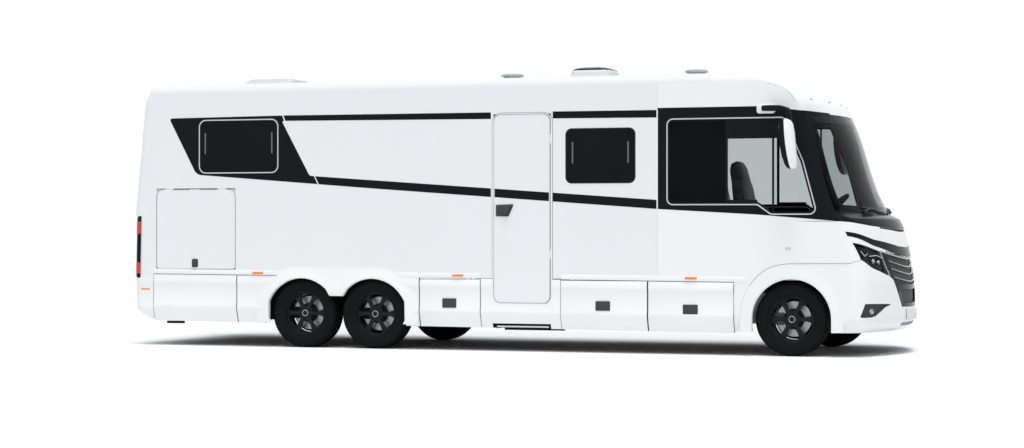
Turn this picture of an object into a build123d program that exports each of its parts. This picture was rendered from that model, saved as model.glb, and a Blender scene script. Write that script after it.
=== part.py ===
from build123d import *
from collections import namedtuple
from math import cos, hypot, pi, sin, sqrt
import os

# Tandem-axle motorhome with a moulded nose, a raised-floor living body and hinged skirt flaps.
# Millimetres. X points forward, Y to the left and Z up. The origin is on the ground, below the
# middle of the length and of the width. The entrance is on the right, at negative Y.

os.makedirs("parts", exist_ok=True)

# Overall sizes
length = 8220.0
body_width = 2300.0
front_overhang = 1000.0
wheelbase = 4420.0
tandem_pitch = 800.0
roof_crown_z = 2840.0
eaves_z = 2700.0
wall_low_z = 745.0
skirt_low_z = 240.0
skirt_gap = 6.0
roof_shoulder = 85.0

# Thicknesses
wall = 35.0
glass = 10.0
bonnet_thickness = 20.0
skirt_thickness = 24.0
floor_thickness = 50.0
window_thickness = 31.0

# Clearances
seat_gap = 0.3
panel_gap = 6.0
hinge_gap = 14.0
hinge_sink = 3.0
barrel_radius = 5.0
barrel_length = 30.0

# Where the axles, the walls and the floor are
x_nose = length / 2
x_tail = -length / 2
x_front_axle = x_nose - front_overhang
x_mid_axle = x_front_axle - wheelbase
x_rear_axle = x_mid_axle - tandem_pitch
half_width = body_width / 2
floor_top_z = wall_low_z + floor_thickness
RIGHT, LEFT = -1, 1

# Side layout. Front sizes count back from the front axle, rear sizes forward from the tail.
tail_corner = 264.0
cab_split = 1339.0
garage_from_tail = 300.0
garage_length = 928.0
garage_low_z = 822.0
garage_height = 844.0
rear_window_from_tail = 809.0
rear_window_length = 921.0
rear_window_low_z = 1843.0
rear_window_height = 562.0
mid_window_from_axle = 1572.0
mid_window_length = 724.0
mid_window_low_z = 1711.0
mid_window_height = 545.0
window_corner = 60.0
window_proud = 4.0
door_from_axle = 2471.0
door_width = 597.0
door_low_z = 499.0
door_height = 1911.0
door_corner = 70.0
step_low_z = 240.0
step_thickness = 30.0
step_depth = 300.0
door_surround = 860.0
door_surround_from_axle = 2349.0
fender_from_axle = 553.0

x_corner = x_tail + tail_corner
x_cab = x_front_axle - cab_split
x_fender = x_front_axle - fender_from_axle
x_garage = x_tail + garage_from_tail
x_rear_window = x_tail + rear_window_from_tail
x_mid_window = x_front_axle - mid_window_from_axle - mid_window_length
x_door = x_front_axle - door_from_axle - door_width
x_surround = x_front_axle - door_surround_from_axle - door_surround

# Skirt flaps: name, front edge behind the front axle, length
Flap = namedtuple("Flap", "name from_axle length")
flaps = [
    Flap("rear", 3209.0, 676.0),
    Flap("mid", 1437.0, 912.0),
    Flap("front", 553.0, 884.0),
]

# Wheels
tyre_radius = 362.0
tyre_width = 245.0
rim_radius = 229.0
rim_width = 200.0
rim_barrel = 14.0
wheel_track = 1944.0
spoke_count = 6
spoke_width = 62.0
spoke_depth = 30.0
hub_radius = 70.0
hub_depth = 92.0
disc_radius = 150.0
disc_thickness = 22.0
spindle_radius = 24.0
spindle_gap = 0.1
kingpin_inset = 82.0
kingpin_radius = 14.0
wheel_half = wheel_track / 2
tyre_gap = 0.3

# Wheel arches
front_arch_radius = 400.0
front_arch_shift = 30.0
rear_arch_radius = 412.0
rear_arch_drop = 42.0
arch_tooth_z = 547.0
arch_tooth_half = 56.0

# Windscreen and nose heights
windscreen_low_z = 1400.0
windscreen_top_z = 2385.0
visor_low_z = windscreen_top_z
visor_back = 629.0 + 181.0

# Level sections of the body. setback is behind the foremost point, tail is ahead of the
# rearmost point, tuck narrows each side, bow and corner are the radii of the nose in plan.
Level = namedtuple("Level", "z setback tail tuck bow corner")
levels = [
    Level(skirt_low_z - 15, 120, 115, 50, 2400, 220),
    Level(290, 35, 80, 20, 2400, 220),
    Level(370, 0, 38, 0, 2400, 220),
    Level(700, 5, 0, 0, 2400, 220),
    Level(911, 42, 0, 0, 2400, 220),
    Level(1100, 75, 0, 0, 2400, 220),
    Level(windscreen_low_z - 60, 158, 9, 0, 2500, 180),
    Level(windscreen_low_z, 267, 15, 0, 2600, 150),
    Level(windscreen_top_z - 25, 650, 111, 0, 3200, 100),
    Level(roof_crown_z - 360, 729, 123, 0, 5000, 90),
    Level(roof_crown_z - 277, 842, 131, 0, 8000, 80),
    Level(roof_crown_z - 193, 1000, 150, 0, 11000, 75),
    Level(roof_crown_z - 106, 1226, 200, 0, 14000, 70),
    Level(roof_crown_z - 40, 1440, 265, 0, 15000, 65),
    Level(roof_crown_z + 10, 1629, 400, 0, 16000, 60),
]
tail_corner_radius = 75.0
least_corner = 25.0


def block(x0, x1, y0, y1, z0, z1, mode=Mode.ADD):
    """A block between two corners, in the part that is being built."""
    middle = ((x0 + x1) / 2, (y0 + y1) / 2, (z0 + z1) / 2)
    with Locations(middle):
        Box(abs(x1 - x0), abs(y1 - y0), abs(z1 - z0), mode=mode)


def rod(start, end, radius, mode=Mode.ADD):
    """A round bar from one point to another."""
    run = Vector(*end) - Vector(*start)
    with Locations(Plane(origin=start, z_dir=run)):
        Cylinder(radius, run.length, align=(Align.CENTER, Align.CENTER, Align.MIN), mode=mode)


def prism(points, plane, depth, grow=0.0, mode=Mode.ADD):
    """A straight-sided outline pushed along its plane's normal, grown or shrunk by grow."""
    with BuildSketch(plane) as outline:
        with BuildLine():
            Polyline(*points, close=True)
        make_face()
        if grow:
            offset(amount=grow, kind=Kind.INTERSECTION, mode=Mode.REPLACE)
    extrude(outline.sketch, amount=depth, mode=mode)


def side_panel(x0, x1, z0, z1, side, outer, inner, corner=0.0, mode=Mode.ADD):
    """An upright rectangle with round corners, between two distances from the middle plane."""
    with BuildSketch(Plane.XZ.offset(-side * inner)) as outline:
        with Locations(((x0 + x1) / 2, (z0 + z1) / 2)):
            if corner:
                RectangleRounded(x1 - x0, z1 - z0, corner)
            else:
                Rectangle(x1 - x0, z1 - z0)
    extrude(outline.sketch, amount=-side * (outer - inner), mode=mode)


def inner_level(levels_list, index, inset):
    """One level section moved inward by inset, square to the nose's outline in side view."""
    row = levels_list[index]
    below = levels_list[max(index - 1, 0)]
    above = levels_list[min(index + 1, len(levels_list) - 1)]
    run = below.setback - above.setback
    rise = above.z - below.z
    slant = hypot(run, rise)
    return row._replace(
        z=row.z + inset * run / slant,
        setback=row.setback + inset * rise / slant,
        tail=row.tail + inset,
        tuck=row.tuck + inset,
        bow=row.bow - inset,
        corner=max(row.corner - inset, least_corner),
    )


def level_face(row, tail_radius):
    """The outline of the body at one height: bowed nose, straight sides, round tail corners."""
    half = half_width - row.tuck
    nose = x_nose - row.setback
    tail = x_tail + row.tail
    bow_x = nose - row.bow
    corner_x = bow_x + sqrt((row.bow - row.corner) ** 2 - (half - row.corner) ** 2)
    reach = Vector(corner_x - bow_x, half - row.corner).normalized()
    tangent = Vector(bow_x, 0) + reach * row.bow
    bend = (reach + Vector(0, 1)).normalized()
    bend_point = Vector(corner_x, half - row.corner) + bend * row.corner
    slack = tail_radius * (1 - sqrt(0.5))
    with BuildSketch(Plane.XY.offset(row.z)) as outline:
        with BuildLine():
            Line((tail + tail_radius, half), (corner_x, half))
            ThreePointArc((corner_x, half), (bend_point.X, bend_point.Y), (tangent.X, tangent.Y))
            ThreePointArc((tangent.X, tangent.Y), (nose, 0), (tangent.X, -tangent.Y))
            ThreePointArc((tangent.X, -tangent.Y), (bend_point.X, -bend_point.Y), (corner_x, -half))
            Line((corner_x, -half), (tail + tail_radius, -half))
            ThreePointArc((tail + tail_radius, -half), (tail + slack, slack - half), (tail, tail_radius - half))
            Line((tail, tail_radius - half), (tail, half - tail_radius))
            ThreePointArc((tail, half - tail_radius), (tail + slack, half - slack), (tail + tail_radius, half))
        make_face()
    return outline.sketch.faces()[0]


def body_form(inset):
    """The whole body as one solid, from skirts to roof, moved inward by inset."""
    rows = [inner_level(levels, index, inset) for index in range(len(levels))]
    if inset > 0:
        rows.insert(0, rows[0]._replace(z=skirt_low_z - 80))
    tail_radius = max(tail_corner_radius - inset, least_corner)
    half = half_width - inset
    crown = roof_crown_z - inset
    shoulder = roof_shoulder - inset
    aside = half + 100
    bend = shoulder * (1 - sqrt(0.5))
    with BuildPart() as form:
        loft([level_face(row, tail_radius) for row in rows], ruled=True)
        with BuildSketch(Plane.YZ.offset(x_tail - 100)) as across:
            with BuildLine():
                Polyline((half, eaves_z), (aside, eaves_z), (aside, 0), (-aside, 0), (-aside, eaves_z), (-half, eaves_z))
                ThreePointArc((-half, eaves_z), (bend - half, eaves_z + shoulder - bend), (shoulder - half, eaves_z + shoulder))
                ThreePointArc((shoulder - half, eaves_z + shoulder), (0, crown), (half - shoulder, eaves_z + shoulder))
                ThreePointArc((half - shoulder, eaves_z + shoulder), (half - bend, eaves_z + shoulder - bend), (half, eaves_z))
            make_face()
        extrude(across.sketch, amount=length + 200, mode=Mode.INTERSECT)
    return form.part


def layer(outer_inset, inner_inset):
    """The skin of the body between two insets."""
    with BuildPart() as skin:
        add(body_form(outer_inset))
        add(body_form(inner_inset), mode=Mode.SUBTRACT)
    return skin.part


def front_view(points, grow=0.0, mode=Mode.INTERSECT):
    """Keeps, adds or cuts what lies inside an outline seen from the front."""
    prism(points, Plane.YZ.offset(x_front_axle), front_overhang + 100, grow, mode)


def both_sides(points):
    """An outline given from the middle out to the right, closed with its mirror image."""
    return [(-y, z) for y, z in points] + [(y, z) for y, z in reversed(points)]


def save(piece, name):
    """Labels a finished piece and writes its file."""
    piece.label = name
    export_step(piece, f"parts/{name}.step")


def across_barrels(stations, side, z, web_z, leaf):
    """Hinge barrels along X: the leaf's own, or the pair that carries it, with their webs."""
    y = side * (half_width - hinge_sink)
    half = barrel_length / 2
    for x in stations:
        if leaf:
            spans = [(x - half, x + half)]
        else:
            spans = [
                (x - 2 * half - half, x - half - seat_gap),
                (x + half + seat_gap, x + 2 * half + half),
            ]
        for x0, x1 in spans:
            rod((x0, y, z), (x1, y, z), barrel_radius)
            block(x0, x1, y - hinge_sink, y + hinge_sink, z, web_z)


def upright_barrels(stations, side, x, web_x, leaf):
    """Hinge barrels along Z: the leaf's own, or the pair that carries it, with their webs."""
    y = side * (half_width - hinge_sink)
    half = barrel_length / 2
    for z in stations:
        if leaf:
            spans = [(z - half, z + half)]
        else:
            spans = [
                (z - 2 * half - half, z - half - seat_gap),
                (z + half + seat_gap, z + 2 * half + half),
            ]
        for z0, z1 in spans:
            rod((x, y, z0), (x, y, z1), barrel_radius)
            block(x, web_x, y - hinge_sink, y + hinge_sink, z0, z1)


def thirds(low, high):
    """Two places, a sixth of the way in from each end."""
    reach = (high - low) / 6
    return [low + reach, high - reach]


def flap_stations(flap):
    """Where a skirt flap has its hinges, along X."""
    front = x_front_axle - flap.from_axle
    return thirds(front - flap.length, front)


body_shell = layer(0, wall)
flap_hinge_z = wall_low_z - hinge_gap / 2
garage_top_z = garage_low_z + garage_height
garage_hinge_z = garage_top_z + hinge_gap / 2
x_door_front = x_door + door_width
x_door_hinge = x_door_front + hinge_gap / 2
door_top_z = door_low_z + door_height
web_reach = hinge_gap / 2 + 4

# Windows of the living body: side, rear edge, length, low edge, height
Window = namedtuple("Window", "side x length low height")
windows = [
    Window(RIGHT, x_rear_window, rear_window_length, rear_window_low_z, rear_window_height),
    Window(RIGHT, x_mid_window, mid_window_length, mid_window_low_z, mid_window_height),
    Window(LEFT, x_rear_window, rear_window_length, rear_window_low_z, rear_window_height),
    Window(LEFT, x_mid_window, mid_window_length, mid_window_low_z, mid_window_height),
    Window(LEFT, x_door - 100, mid_window_length, mid_window_low_z, mid_window_height),
]


# Side walls of the living body, with the openings for windows and doors
for side, side_name in ((RIGHT, "right"), (LEFT, "left")):
    inner = half_width - wall - 5
    outer = half_width + 20
    with BuildPart() as side_wall:
        add(body_shell)
        side_panel(x_corner, x_cab, wall_low_z, eaves_z, side, outer, half_width / 2, mode=Mode.INTERSECT)
        for window in windows:
            if window.side == side:
                side_panel(
                    window.x - seat_gap, window.x + window.length + seat_gap,
                    window.low - seat_gap, window.low + window.height + seat_gap,
                    side, outer, inner, window_corner + seat_gap, mode=Mode.SUBTRACT,
                )
        side_panel(
            x_garage - panel_gap, x_garage + garage_length + panel_gap,
            garage_low_z - panel_gap, garage_top_z + hinge_gap,
            side, outer, inner, mode=Mode.SUBTRACT,
        )
        garage_stations = thirds(x_garage, x_garage + garage_length)
        across_barrels(garage_stations, side, garage_hinge_z, garage_hinge_z + web_reach, leaf=False)
        for flap in flaps[:2]:
            across_barrels(flap_stations(flap), side, flap_hinge_z, flap_hinge_z + web_reach, leaf=False)
        if side == RIGHT:
            side_panel(
                x_door - panel_gap, x_door_front + hinge_gap,
                wall_low_z - 50, door_top_z + panel_gap,
                side, outer, inner, mode=Mode.SUBTRACT,
            )
            door_stations = [wall_low_z + 250, door_top_z - 250]
            upright_barrels(door_stations, side, x_door_hinge, x_door_hinge + web_reach, leaf=False)
    save(side_wall.part, f"side_wall_{side_name}")

# Garage doors, one on each side, hinged along the top
for side, side_name in ((RIGHT, "right"), (LEFT, "left")):
    with BuildPart() as garage_door:
        side_panel(
            x_garage, x_garage + garage_length, garage_low_z, garage_top_z,
            side, half_width, half_width - wall, corner=30,
        )
        across_barrels(
            thirds(x_garage, x_garage + garage_length), side,
            garage_hinge_z, garage_hinge_z - web_reach, leaf=True,
        )
    save(garage_door.part, f"garage_door_{side_name}")

# Entrance door, hinged on its front edge
with BuildPart() as entrance_door:
    side_panel(
        x_door, x_door_front, door_low_z, door_top_z,
        RIGHT, half_width, half_width - wall, corner=door_corner,
    )
    upright_barrels(
        [wall_low_z + 250, door_top_z - 250], RIGHT,
        x_door_hinge, x_door_hinge - web_reach, leaf=True,
    )
save(entrance_door.part, "entrance_door")

# Living windows: thick acrylic panes that stand a little proud of the wall
with BuildPart() as living_windows:
    for window in windows:
        side_panel(
            window.x, window.x + window.length, window.low, window.low + window.height,
            window.side, half_width + window_proud, half_width + window_proud - window_thickness, window_corner,
        )
save(living_windows.part, "living_windows")

# Tail lamps stand upright in the rear corners
lamp_low_z = 730.0
lamp_top_z = 1385.0
lamp_inboard = 1010.0
lamp_front = x_tail + 95.0
with BuildPart() as tail_lamps:
    add(body_shell)
    block(x_tail - 50, lamp_front, -half_width - 50, half_width + 50, wall_low_z, lamp_top_z, mode=Mode.INTERSECT)
    block(x_tail - 60, lamp_front + 10, -lamp_inboard, lamp_inboard, lamp_low_z - 10, lamp_top_z + 10, mode=Mode.SUBTRACT)
save(tail_lamps.part, "tail_lamps")

with BuildPart() as rear_wall:
    add(body_shell)
    block(x_tail - 50, x_corner, -half_width - 50, half_width + 50, wall_low_z, eaves_z, mode=Mode.INTERSECT)
    for side in (RIGHT, LEFT):
        block(
            x_tail - 60, lamp_front, side * lamp_inboard, side * (half_width + 50),
            wall_low_z - 10, lamp_top_z, mode=Mode.SUBTRACT,
        )
save(rear_wall.part, "rear_wall")

with BuildPart() as rear_bumper:
    add(body_shell)
    block(
        x_tail - 50, x_corner - skirt_gap, -half_width - 50, half_width + 50,
        skirt_low_z, wall_low_z, mode=Mode.INTERSECT,
    )
save(rear_bumper.part, "rear_bumper")

# Roof, with two hatches: name, rear edge ahead of the tail, length, half width, dome height
Hatch = namedtuple("Hatch", "name x length half_width rise")
hatches = [
    Hatch("rear", x_tail + 920, 560.0, 260.0, 30.0),
    Hatch("mid", x_front_axle - 2561, 430.0, 210.0, 88.0),
]
curb_z = roof_crown_z + 28
curb_wall = 30.0
x_roof_front = x_front_axle - visor_back
with BuildPart() as roof_shell:
    add(body_shell)
    block(x_tail - 50, x_roof_front, -half_width - 50, half_width + 50, eaves_z, roof_crown_z + 100, mode=Mode.INTERSECT)
    for hatch in hatches:
        block(
            hatch.x + curb_wall, hatch.x + hatch.length - curb_wall,
            curb_wall - hatch.half_width, hatch.half_width - curb_wall,
            eaves_z, roof_crown_z + 50, mode=Mode.SUBTRACT,
        )
save(roof_shell.part, "roof_shell")

# Curbs that carry the hatch lids, standing on the crowned roof
with BuildPart() as hatch_frames:
    for hatch in hatches:
        block(
            hatch.x, hatch.x + hatch.length, -hatch.half_width, hatch.half_width,
            roof_crown_z - wall, curb_z,
        )
        block(
            hatch.x + curb_wall, hatch.x + hatch.length - curb_wall,
            curb_wall - hatch.half_width, hatch.half_width - curb_wall,
            roof_crown_z - 100, curb_z + 10, mode=Mode.SUBTRACT,
        )
    add(body_form(0), mode=Mode.SUBTRACT)
save(hatch_frames.part, "hatch_frames")

lid_wall = 12.0
for hatch in hatches:
    low = curb_z + seat_gap
    top = curb_z + hatch.rise
    with BuildPart() as hatch_lid:
        with BuildSketch(Plane.XY.offset(low)) as lid_low:
            with Locations((hatch.x + hatch.length / 2, 0)):
                RectangleRounded(hatch.length, 2 * hatch.half_width, 50)
        with BuildSketch(Plane.XY.offset(top)) as lid_top:
            with Locations((hatch.x + hatch.length / 2, 0)):
                RectangleRounded(hatch.length - hatch.rise, 2 * hatch.half_width - hatch.rise, 45)
        loft()
        with BuildSketch(Plane.XY.offset(low)) as hollow_low:
            with Locations((hatch.x + hatch.length / 2, 0)):
                RectangleRounded(hatch.length - 2 * lid_wall, 2 * hatch.half_width - 2 * lid_wall, 40)
        with BuildSketch(Plane.XY.offset(top - lid_wall)) as hollow_top:
            with Locations((hatch.x + hatch.length / 2, 0)):
                RectangleRounded(
                    hatch.length - hatch.rise - 2 * lid_wall,
                    2 * hatch.half_width - hatch.rise - 2 * lid_wall, 35,
                )
        loft(mode=Mode.SUBTRACT)
    save(hatch_lid.part, f"hatch_lid_{hatch.name}")

# Round roof vents on the middle line: how far behind the front axle
vent_radius = 120.0
vent_rise = 65.0
with BuildPart() as roof_vents:
    for from_axle in (3272.0, 1243.0):
        x = x_front_axle - from_axle
        rod((x, 0, roof_crown_z - wall), (x, 0, roof_crown_z + vent_rise - 30), vent_radius - 25)
        rod((x, 0, roof_crown_z + vent_rise - 30), (x, 0, roof_crown_z + vent_rise), vent_radius)
    add(body_form(0), mode=Mode.SUBTRACT)
save(roof_vents.part, "roof_vents")

# Skirts. Their section is given from the top edge down the outside and back up the inside.
bulge = 8.0
skirt_section = [
    (half_width, wall_low_z),
    (half_width + bulge, 560.0),
    (half_width, 330.0),
    (half_width - 35, skirt_low_z),
    (half_width - 35 - skirt_thickness, skirt_low_z),
    (half_width - skirt_thickness, 335.0),
    (half_width + bulge - skirt_thickness, 560.0),
    (half_width - skirt_thickness, wall_low_z),
]


def skirt_piece(x0, x1, side, top_z=wall_low_z):
    """A length of skirt, cut level at top_z."""
    prism([(side * y, z) for y, z in skirt_section], Plane.YZ.offset(x0), x1 - x0)
    if top_z < wall_low_z:
        block(x0 - 1, x1 + 1, side * (half_width - 100), side * (half_width + 50), top_z, wall_low_z + 1, mode=Mode.SUBTRACT)


def rear_arches(mode=Mode.SUBTRACT):
    """The double opening over the tandem wheels."""
    arch_z = tyre_radius - rear_arch_drop
    for x in (x_mid_axle, x_rear_axle):
        rod((x, -half_width - 100, arch_z), (x, half_width + 100, arch_z), rear_arch_radius, mode=mode)
    middle = (x_mid_axle + x_rear_axle) / 2
    block(
        middle - arch_tooth_half - 40, middle + arch_tooth_half + 40,
        -half_width - 100, half_width + 100, 0, arch_tooth_z, mode=mode,
    )


x_garage_shut = x_tail + 1252.0
x_arch_front = x_front_axle - flaps[0].from_axle - flaps[0].length
for side, side_name in ((RIGHT, "right"), (LEFT, "left")):
    with BuildPart() as skirt:
        skirt_piece(x_corner, x_garage_shut - skirt_gap, side)
        skirt_piece(x_garage_shut, x_arch_front - skirt_gap, side)
        skirt_piece(x_surround, x_surround + door_surround - skirt_gap, side)
        rear_arches()
        if side == RIGHT:
            side_panel(
                x_door - panel_gap, x_door_front + hinge_gap,
                door_low_z - panel_gap, wall_low_z + 10,
                side, half_width + 50, half_width - 100, mode=Mode.SUBTRACT,
            )
            side_panel(
                x_door - panel_gap, x_door_front + panel_gap,
                skirt_low_z - 10, step_low_z + step_thickness + panel_gap,
                side, half_width + 50, half_width - 100, mode=Mode.SUBTRACT,
            )
    save(skirt.part, f"skirt_{side_name}")
    for flap in flaps:
        front = x_front_axle - flap.from_axle - skirt_gap
        rear = x_front_axle - flap.from_axle - flap.length
        with BuildPart() as flap_panel:
            skirt_piece(rear, front, side, top_z=wall_low_z - hinge_gap)
            across_barrels(flap_stations(flap), side, flap_hinge_z, flap_hinge_z - web_reach, leaf=True)
        save(flap_panel.part, f"flap_{side_name}_{flap.name}")


# Nose outlines seen from the front, from the middle out: distance from the middle, height
windscreen_low = [(0, windscreen_low_z - 10), (600, windscreen_low_z - 2), (1123, windscreen_low_z + 22)]
windscreen_top = [(0, windscreen_top_z), (1077, windscreen_top_z)]
cowl_low = [(0, 1233), (150, 1233), (809, 1277), (1127, 1373)]
bonnet_half = 650.0
bonnet_low = [(0, 960), (bonnet_half, 1026)]
bonnet_top = [(0, 1233), (150, 1233), (bonnet_half, 1266)]
grille_low = [(0, 466), (395, 475), (597, 745)]
lamp_outline = [(632, 770), (745, 1022), (1118, 1116), (1078, 947), (950, 868)]
fog_outline = [(599, 510), (1084, 521), (1120, 386), (942, 386), (740, 487)]


def between(lower, upper):
    """A mirrored outline from its lower and its upper edge, each from the middle out."""
    right = [(-y, z) for y, z in lower] + [(-y, z) for y, z in reversed(upper)]
    left = [(y, z) for y, z in upper[1:]] + [(y, z) for y, z in reversed(lower[1:])]
    return right + left


windscreen_outline = between(windscreen_low, windscreen_top)
cowl_outline = between(cowl_low, windscreen_low)
bonnet_opening = between(bonnet_low, bonnet_top)
bonnet_edge = between(
    [(y, z + panel_gap) for y, z in bonnet_low[:1]] + [(bonnet_half - panel_gap, bonnet_low[1][1] + panel_gap)],
    [(y, z - hinge_gap) for y, z in bonnet_top[:2]] + [(bonnet_half - panel_gap, bonnet_top[2][1] - hinge_gap)],
)
grille_outline = between(grille_low, [(y, z - panel_gap) for y, z in bonnet_low])

# Side outline of the cab sides: the moulded wall, the fender and the screen pillar
fender_front = x_front_axle + 440
lamp_front_x = x_front_axle + 590
pillar_front = x_front_axle + 500
fender_seam_z = 913.0
corner_seam_z = 1180.0
cab_outline = [
    (x_cab, wall_low_z), (x_cab, eaves_z), (x_roof_front, eaves_z), (x_roof_front, visor_low_z),
    (pillar_front, visor_low_z), (pillar_front, corner_seam_z), (lamp_front_x, corner_seam_z),
    (lamp_front_x, fender_seam_z), (fender_front, fender_seam_z), (fender_front, skirt_low_z),
    (x_fender, skirt_low_z), (x_fender, wall_low_z),
]
cab_side_inboard = 600.0

# Side window of the cab, behind the front axle and above the ground
cab_window_outline = [
    (x_front_axle - 1241, 2330), (x_front_axle - 1241, 1486), (x_front_axle - 317, 1486),
    (x_front_axle - 187, 1398), (x_front_axle + 220, 1398), (x_front_axle - 87, 2330),
]
cab_window_corner = 45.0


def cab_window(side, outer, inner, grow=0.0, mode=Mode.ADD):
    """The cab's side window with its round corners, between two distances from the middle."""
    with BuildSketch(Plane.XZ.offset(-side * inner)) as outline:
        with BuildLine():
            Polyline(*cab_window_outline, close=True)
        make_face()
        fillet(outline.vertices(), cab_window_corner)
        if grow:
            offset(amount=grow, mode=Mode.REPLACE)
    extrude(outline.sketch, amount=-side * (outer - inner), mode=mode)


def cab_region(side, mode):
    """Everything that the cab side's outline covers, on one side of the cab."""
    with BuildSketch(Plane.XZ.offset(-side * cab_side_inboard)) as outline:
        with BuildLine():
            Polyline(*cab_outline, close=True)
        make_face()
    extrude(outline.sketch, amount=-side * half_width, mode=mode)


for side, side_name in ((RIGHT, "right"), (LEFT, "left")):
    with BuildPart() as cab_side:
        add(body_shell)
        cab_region(side, Mode.INTERSECT)
        front_view(windscreen_outline, mode=Mode.SUBTRACT)
        front_view(cowl_outline, mode=Mode.SUBTRACT)
        cab_window(side, half_width + 50, half_width - wall - 20, grow=seat_gap, mode=Mode.SUBTRACT)
        arch_x = x_front_axle + front_arch_shift
        rod((arch_x, -half_width - 100, tyre_radius), (arch_x, half_width + 100, tyre_radius), front_arch_radius, mode=Mode.SUBTRACT)
        across_barrels(flap_stations(flaps[2]), side, flap_hinge_z, flap_hinge_z + web_reach, leaf=False)
    save(cab_side.part, f"cab_side_{side_name}")

with BuildPart() as cab_windows:
    for side in (RIGHT, LEFT):
        cab_window(side, half_width, half_width - glass)
save(cab_windows.part, "cab_windows")

with BuildPart() as front_cap:
    add(body_shell)
    block(x_roof_front, x_nose + 50, -half_width - 50, half_width + 50, visor_low_z, roof_crown_z + 100, mode=Mode.INTERSECT)
save(front_cap.part, "front_cap")

with BuildPart() as windscreen:
    add(layer(0, glass))
    front_view(windscreen_outline)
save(windscreen.part, "windscreen")

# The bonnet's hinge lies just inside the skin, below the cowl
bonnet_hinge_z = bonnet_top[0][1] - hinge_gap / 2
bonnet_hinge_x = x_nose - 121.0
bonnet_stations = [-75.0, 75.0]


def bonnet_barrels(web_z, leaf):
    """The bonnet's hinge barrels along Y, with webs up to the cowl or down to the bonnet."""
    half = barrel_length / 2
    for y in bonnet_stations:
        if leaf:
            spans = [(y - half, y + half)]
        else:
            spans = [(y - 2 * half - half, y - half - seat_gap), (y + half + seat_gap, y + 2 * half + half)]
        for y0, y1 in spans:
            rod((bonnet_hinge_x, y0, bonnet_hinge_z), (bonnet_hinge_x, y1, bonnet_hinge_z), barrel_radius)
            block(bonnet_hinge_x - 9, bonnet_hinge_x - 3, y0, y1, bonnet_hinge_z, web_z)


with BuildPart() as cowl_panel:
    add(body_shell)
    front_view(cowl_outline)
    bonnet_barrels(bonnet_hinge_z + web_reach, leaf=False)
save(cowl_panel.part, "cowl_panel")

with BuildPart() as bonnet:
    add(layer(0, bonnet_thickness))
    front_view(bonnet_edge)
    bonnet_barrels(bonnet_hinge_z - web_reach, leaf=True)
save(bonnet.part, "bonnet")

grille_sink = 12.0
grille_back = 30.0
with BuildPart() as grille:
    add(layer(grille_sink, grille_back))
    front_view(grille_outline)
save(grille.part, "grille")

lamp_depth = 60.0
lamp_sink = 2.0
fog_sink = 20.0
with BuildPart() as headlamps:
    add(layer(lamp_sink, lamp_depth))
    prism(
        [(-y, z) for y, z in lamp_outline], Plane.YZ.offset(lamp_front_x), front_overhang, mode=Mode.INTERSECT,
    )
    mirror(about=Plane.XZ)
save(headlamps.part, "headlamps")

with BuildPart() as fog_lamps:
    add(layer(fog_sink, lamp_depth))
    prism(
        [(-y, z) for y, z in fog_outline], Plane.YZ.offset(fender_front), front_overhang, mode=Mode.INTERSECT,
    )
    mirror(about=Plane.XZ)
save(fog_lamps.part, "fog_lamps")

with BuildPart() as front_panel:
    add(body_shell)
    block(fender_front, x_nose + 50, -half_width - 50, half_width + 50, skirt_low_z, windscreen_low_z, mode=Mode.INTERSECT)
    for side in (RIGHT, LEFT):
        cab_region(side, Mode.SUBTRACT)
        front_view([(side * y, z) for y, z in lamp_outline], mode=Mode.SUBTRACT)
        front_view([(side * y, z) for y, z in fog_outline], mode=Mode.SUBTRACT)
    front_view(windscreen_outline, mode=Mode.SUBTRACT)
    front_view(cowl_outline, mode=Mode.SUBTRACT)
    front_view(bonnet_opening, mode=Mode.SUBTRACT)
    front_view(grille_outline, mode=Mode.SUBTRACT)
save(front_panel.part, "front_panel")

# Wipers parked low on the glass, one each side of the middle
wiper_proud = 14.0
wiper_outline = [(30, 1384), (30, 1412), (660, 1478), (660, 1456)]
with BuildPart() as wipers:
    add(layer(-wiper_proud, -seat_gap))
    front_view([(-y, z) for y, z in wiper_outline])
    mirror(about=Plane.XZ)
save(wipers.part, "wipers")

# Mirrors: a foot on the cap's side, an arm forward and outward, and a tall head below it
mirror_foot_x = x_front_axle - 240
mirror_arm_z = 2425.0
mirror_head_x = x_front_axle + 25
mirror_head_y = half_width + 175
mirror_head = (170.0, 190.0, 480.0)
mirror_head_z = 2070.0
arm_radius = 30.0
with BuildPart() as mirrors:
    for side in (RIGHT, LEFT):
        elbow = (mirror_head_x, side * mirror_head_y, mirror_arm_z)
        block(
            mirror_foot_x - 90, mirror_foot_x + 90, side * half_width, side * (half_width + 25),
            mirror_arm_z - 50, mirror_arm_z + 45,
        )
        rod((mirror_foot_x, side * (half_width + arm_radius + 5), mirror_arm_z), elbow, arm_radius)
        with Locations(elbow):
            Sphere(arm_radius)
        rod(elbow, (mirror_head_x, side * mirror_head_y, mirror_head_z), arm_radius)
        with Locations((mirror_head_x, side * mirror_head_y, mirror_head_z)):
            Box(*mirror_head)
    fillet(mirrors.edges().filter_by(lambda edge: abs(edge.length - mirror_head[2]) < 1), 45)
save(mirrors.part, "mirrors")

# Wheels: name, place along X, side
Wheel = namedtuple("Wheel", "name x side")
wheels = [
    Wheel(f"{place}_{side_name}", x, side)
    for place, x in (("front", x_front_axle), ("mid", x_mid_axle), ("rear", x_rear_axle))
    for side, side_name in ((RIGHT, "right"), (LEFT, "left"))
]
spoke_y = wheel_half + 48
disc_y = wheel_half - 47
hub_end = disc_y + disc_thickness + hub_depth

# Half of the tyre's outline, from its bead to its tread: distance from the wheel's middle, radius
tyre_sides = 48
tyre_section = [
    (rim_width / 2, rim_radius + 8),
    (tyre_width / 2, tyre_radius - 74),
    (tyre_width / 2 - 8, tyre_radius - 24),
    (tyre_width / 2 - 40, tyre_radius),
]


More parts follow.
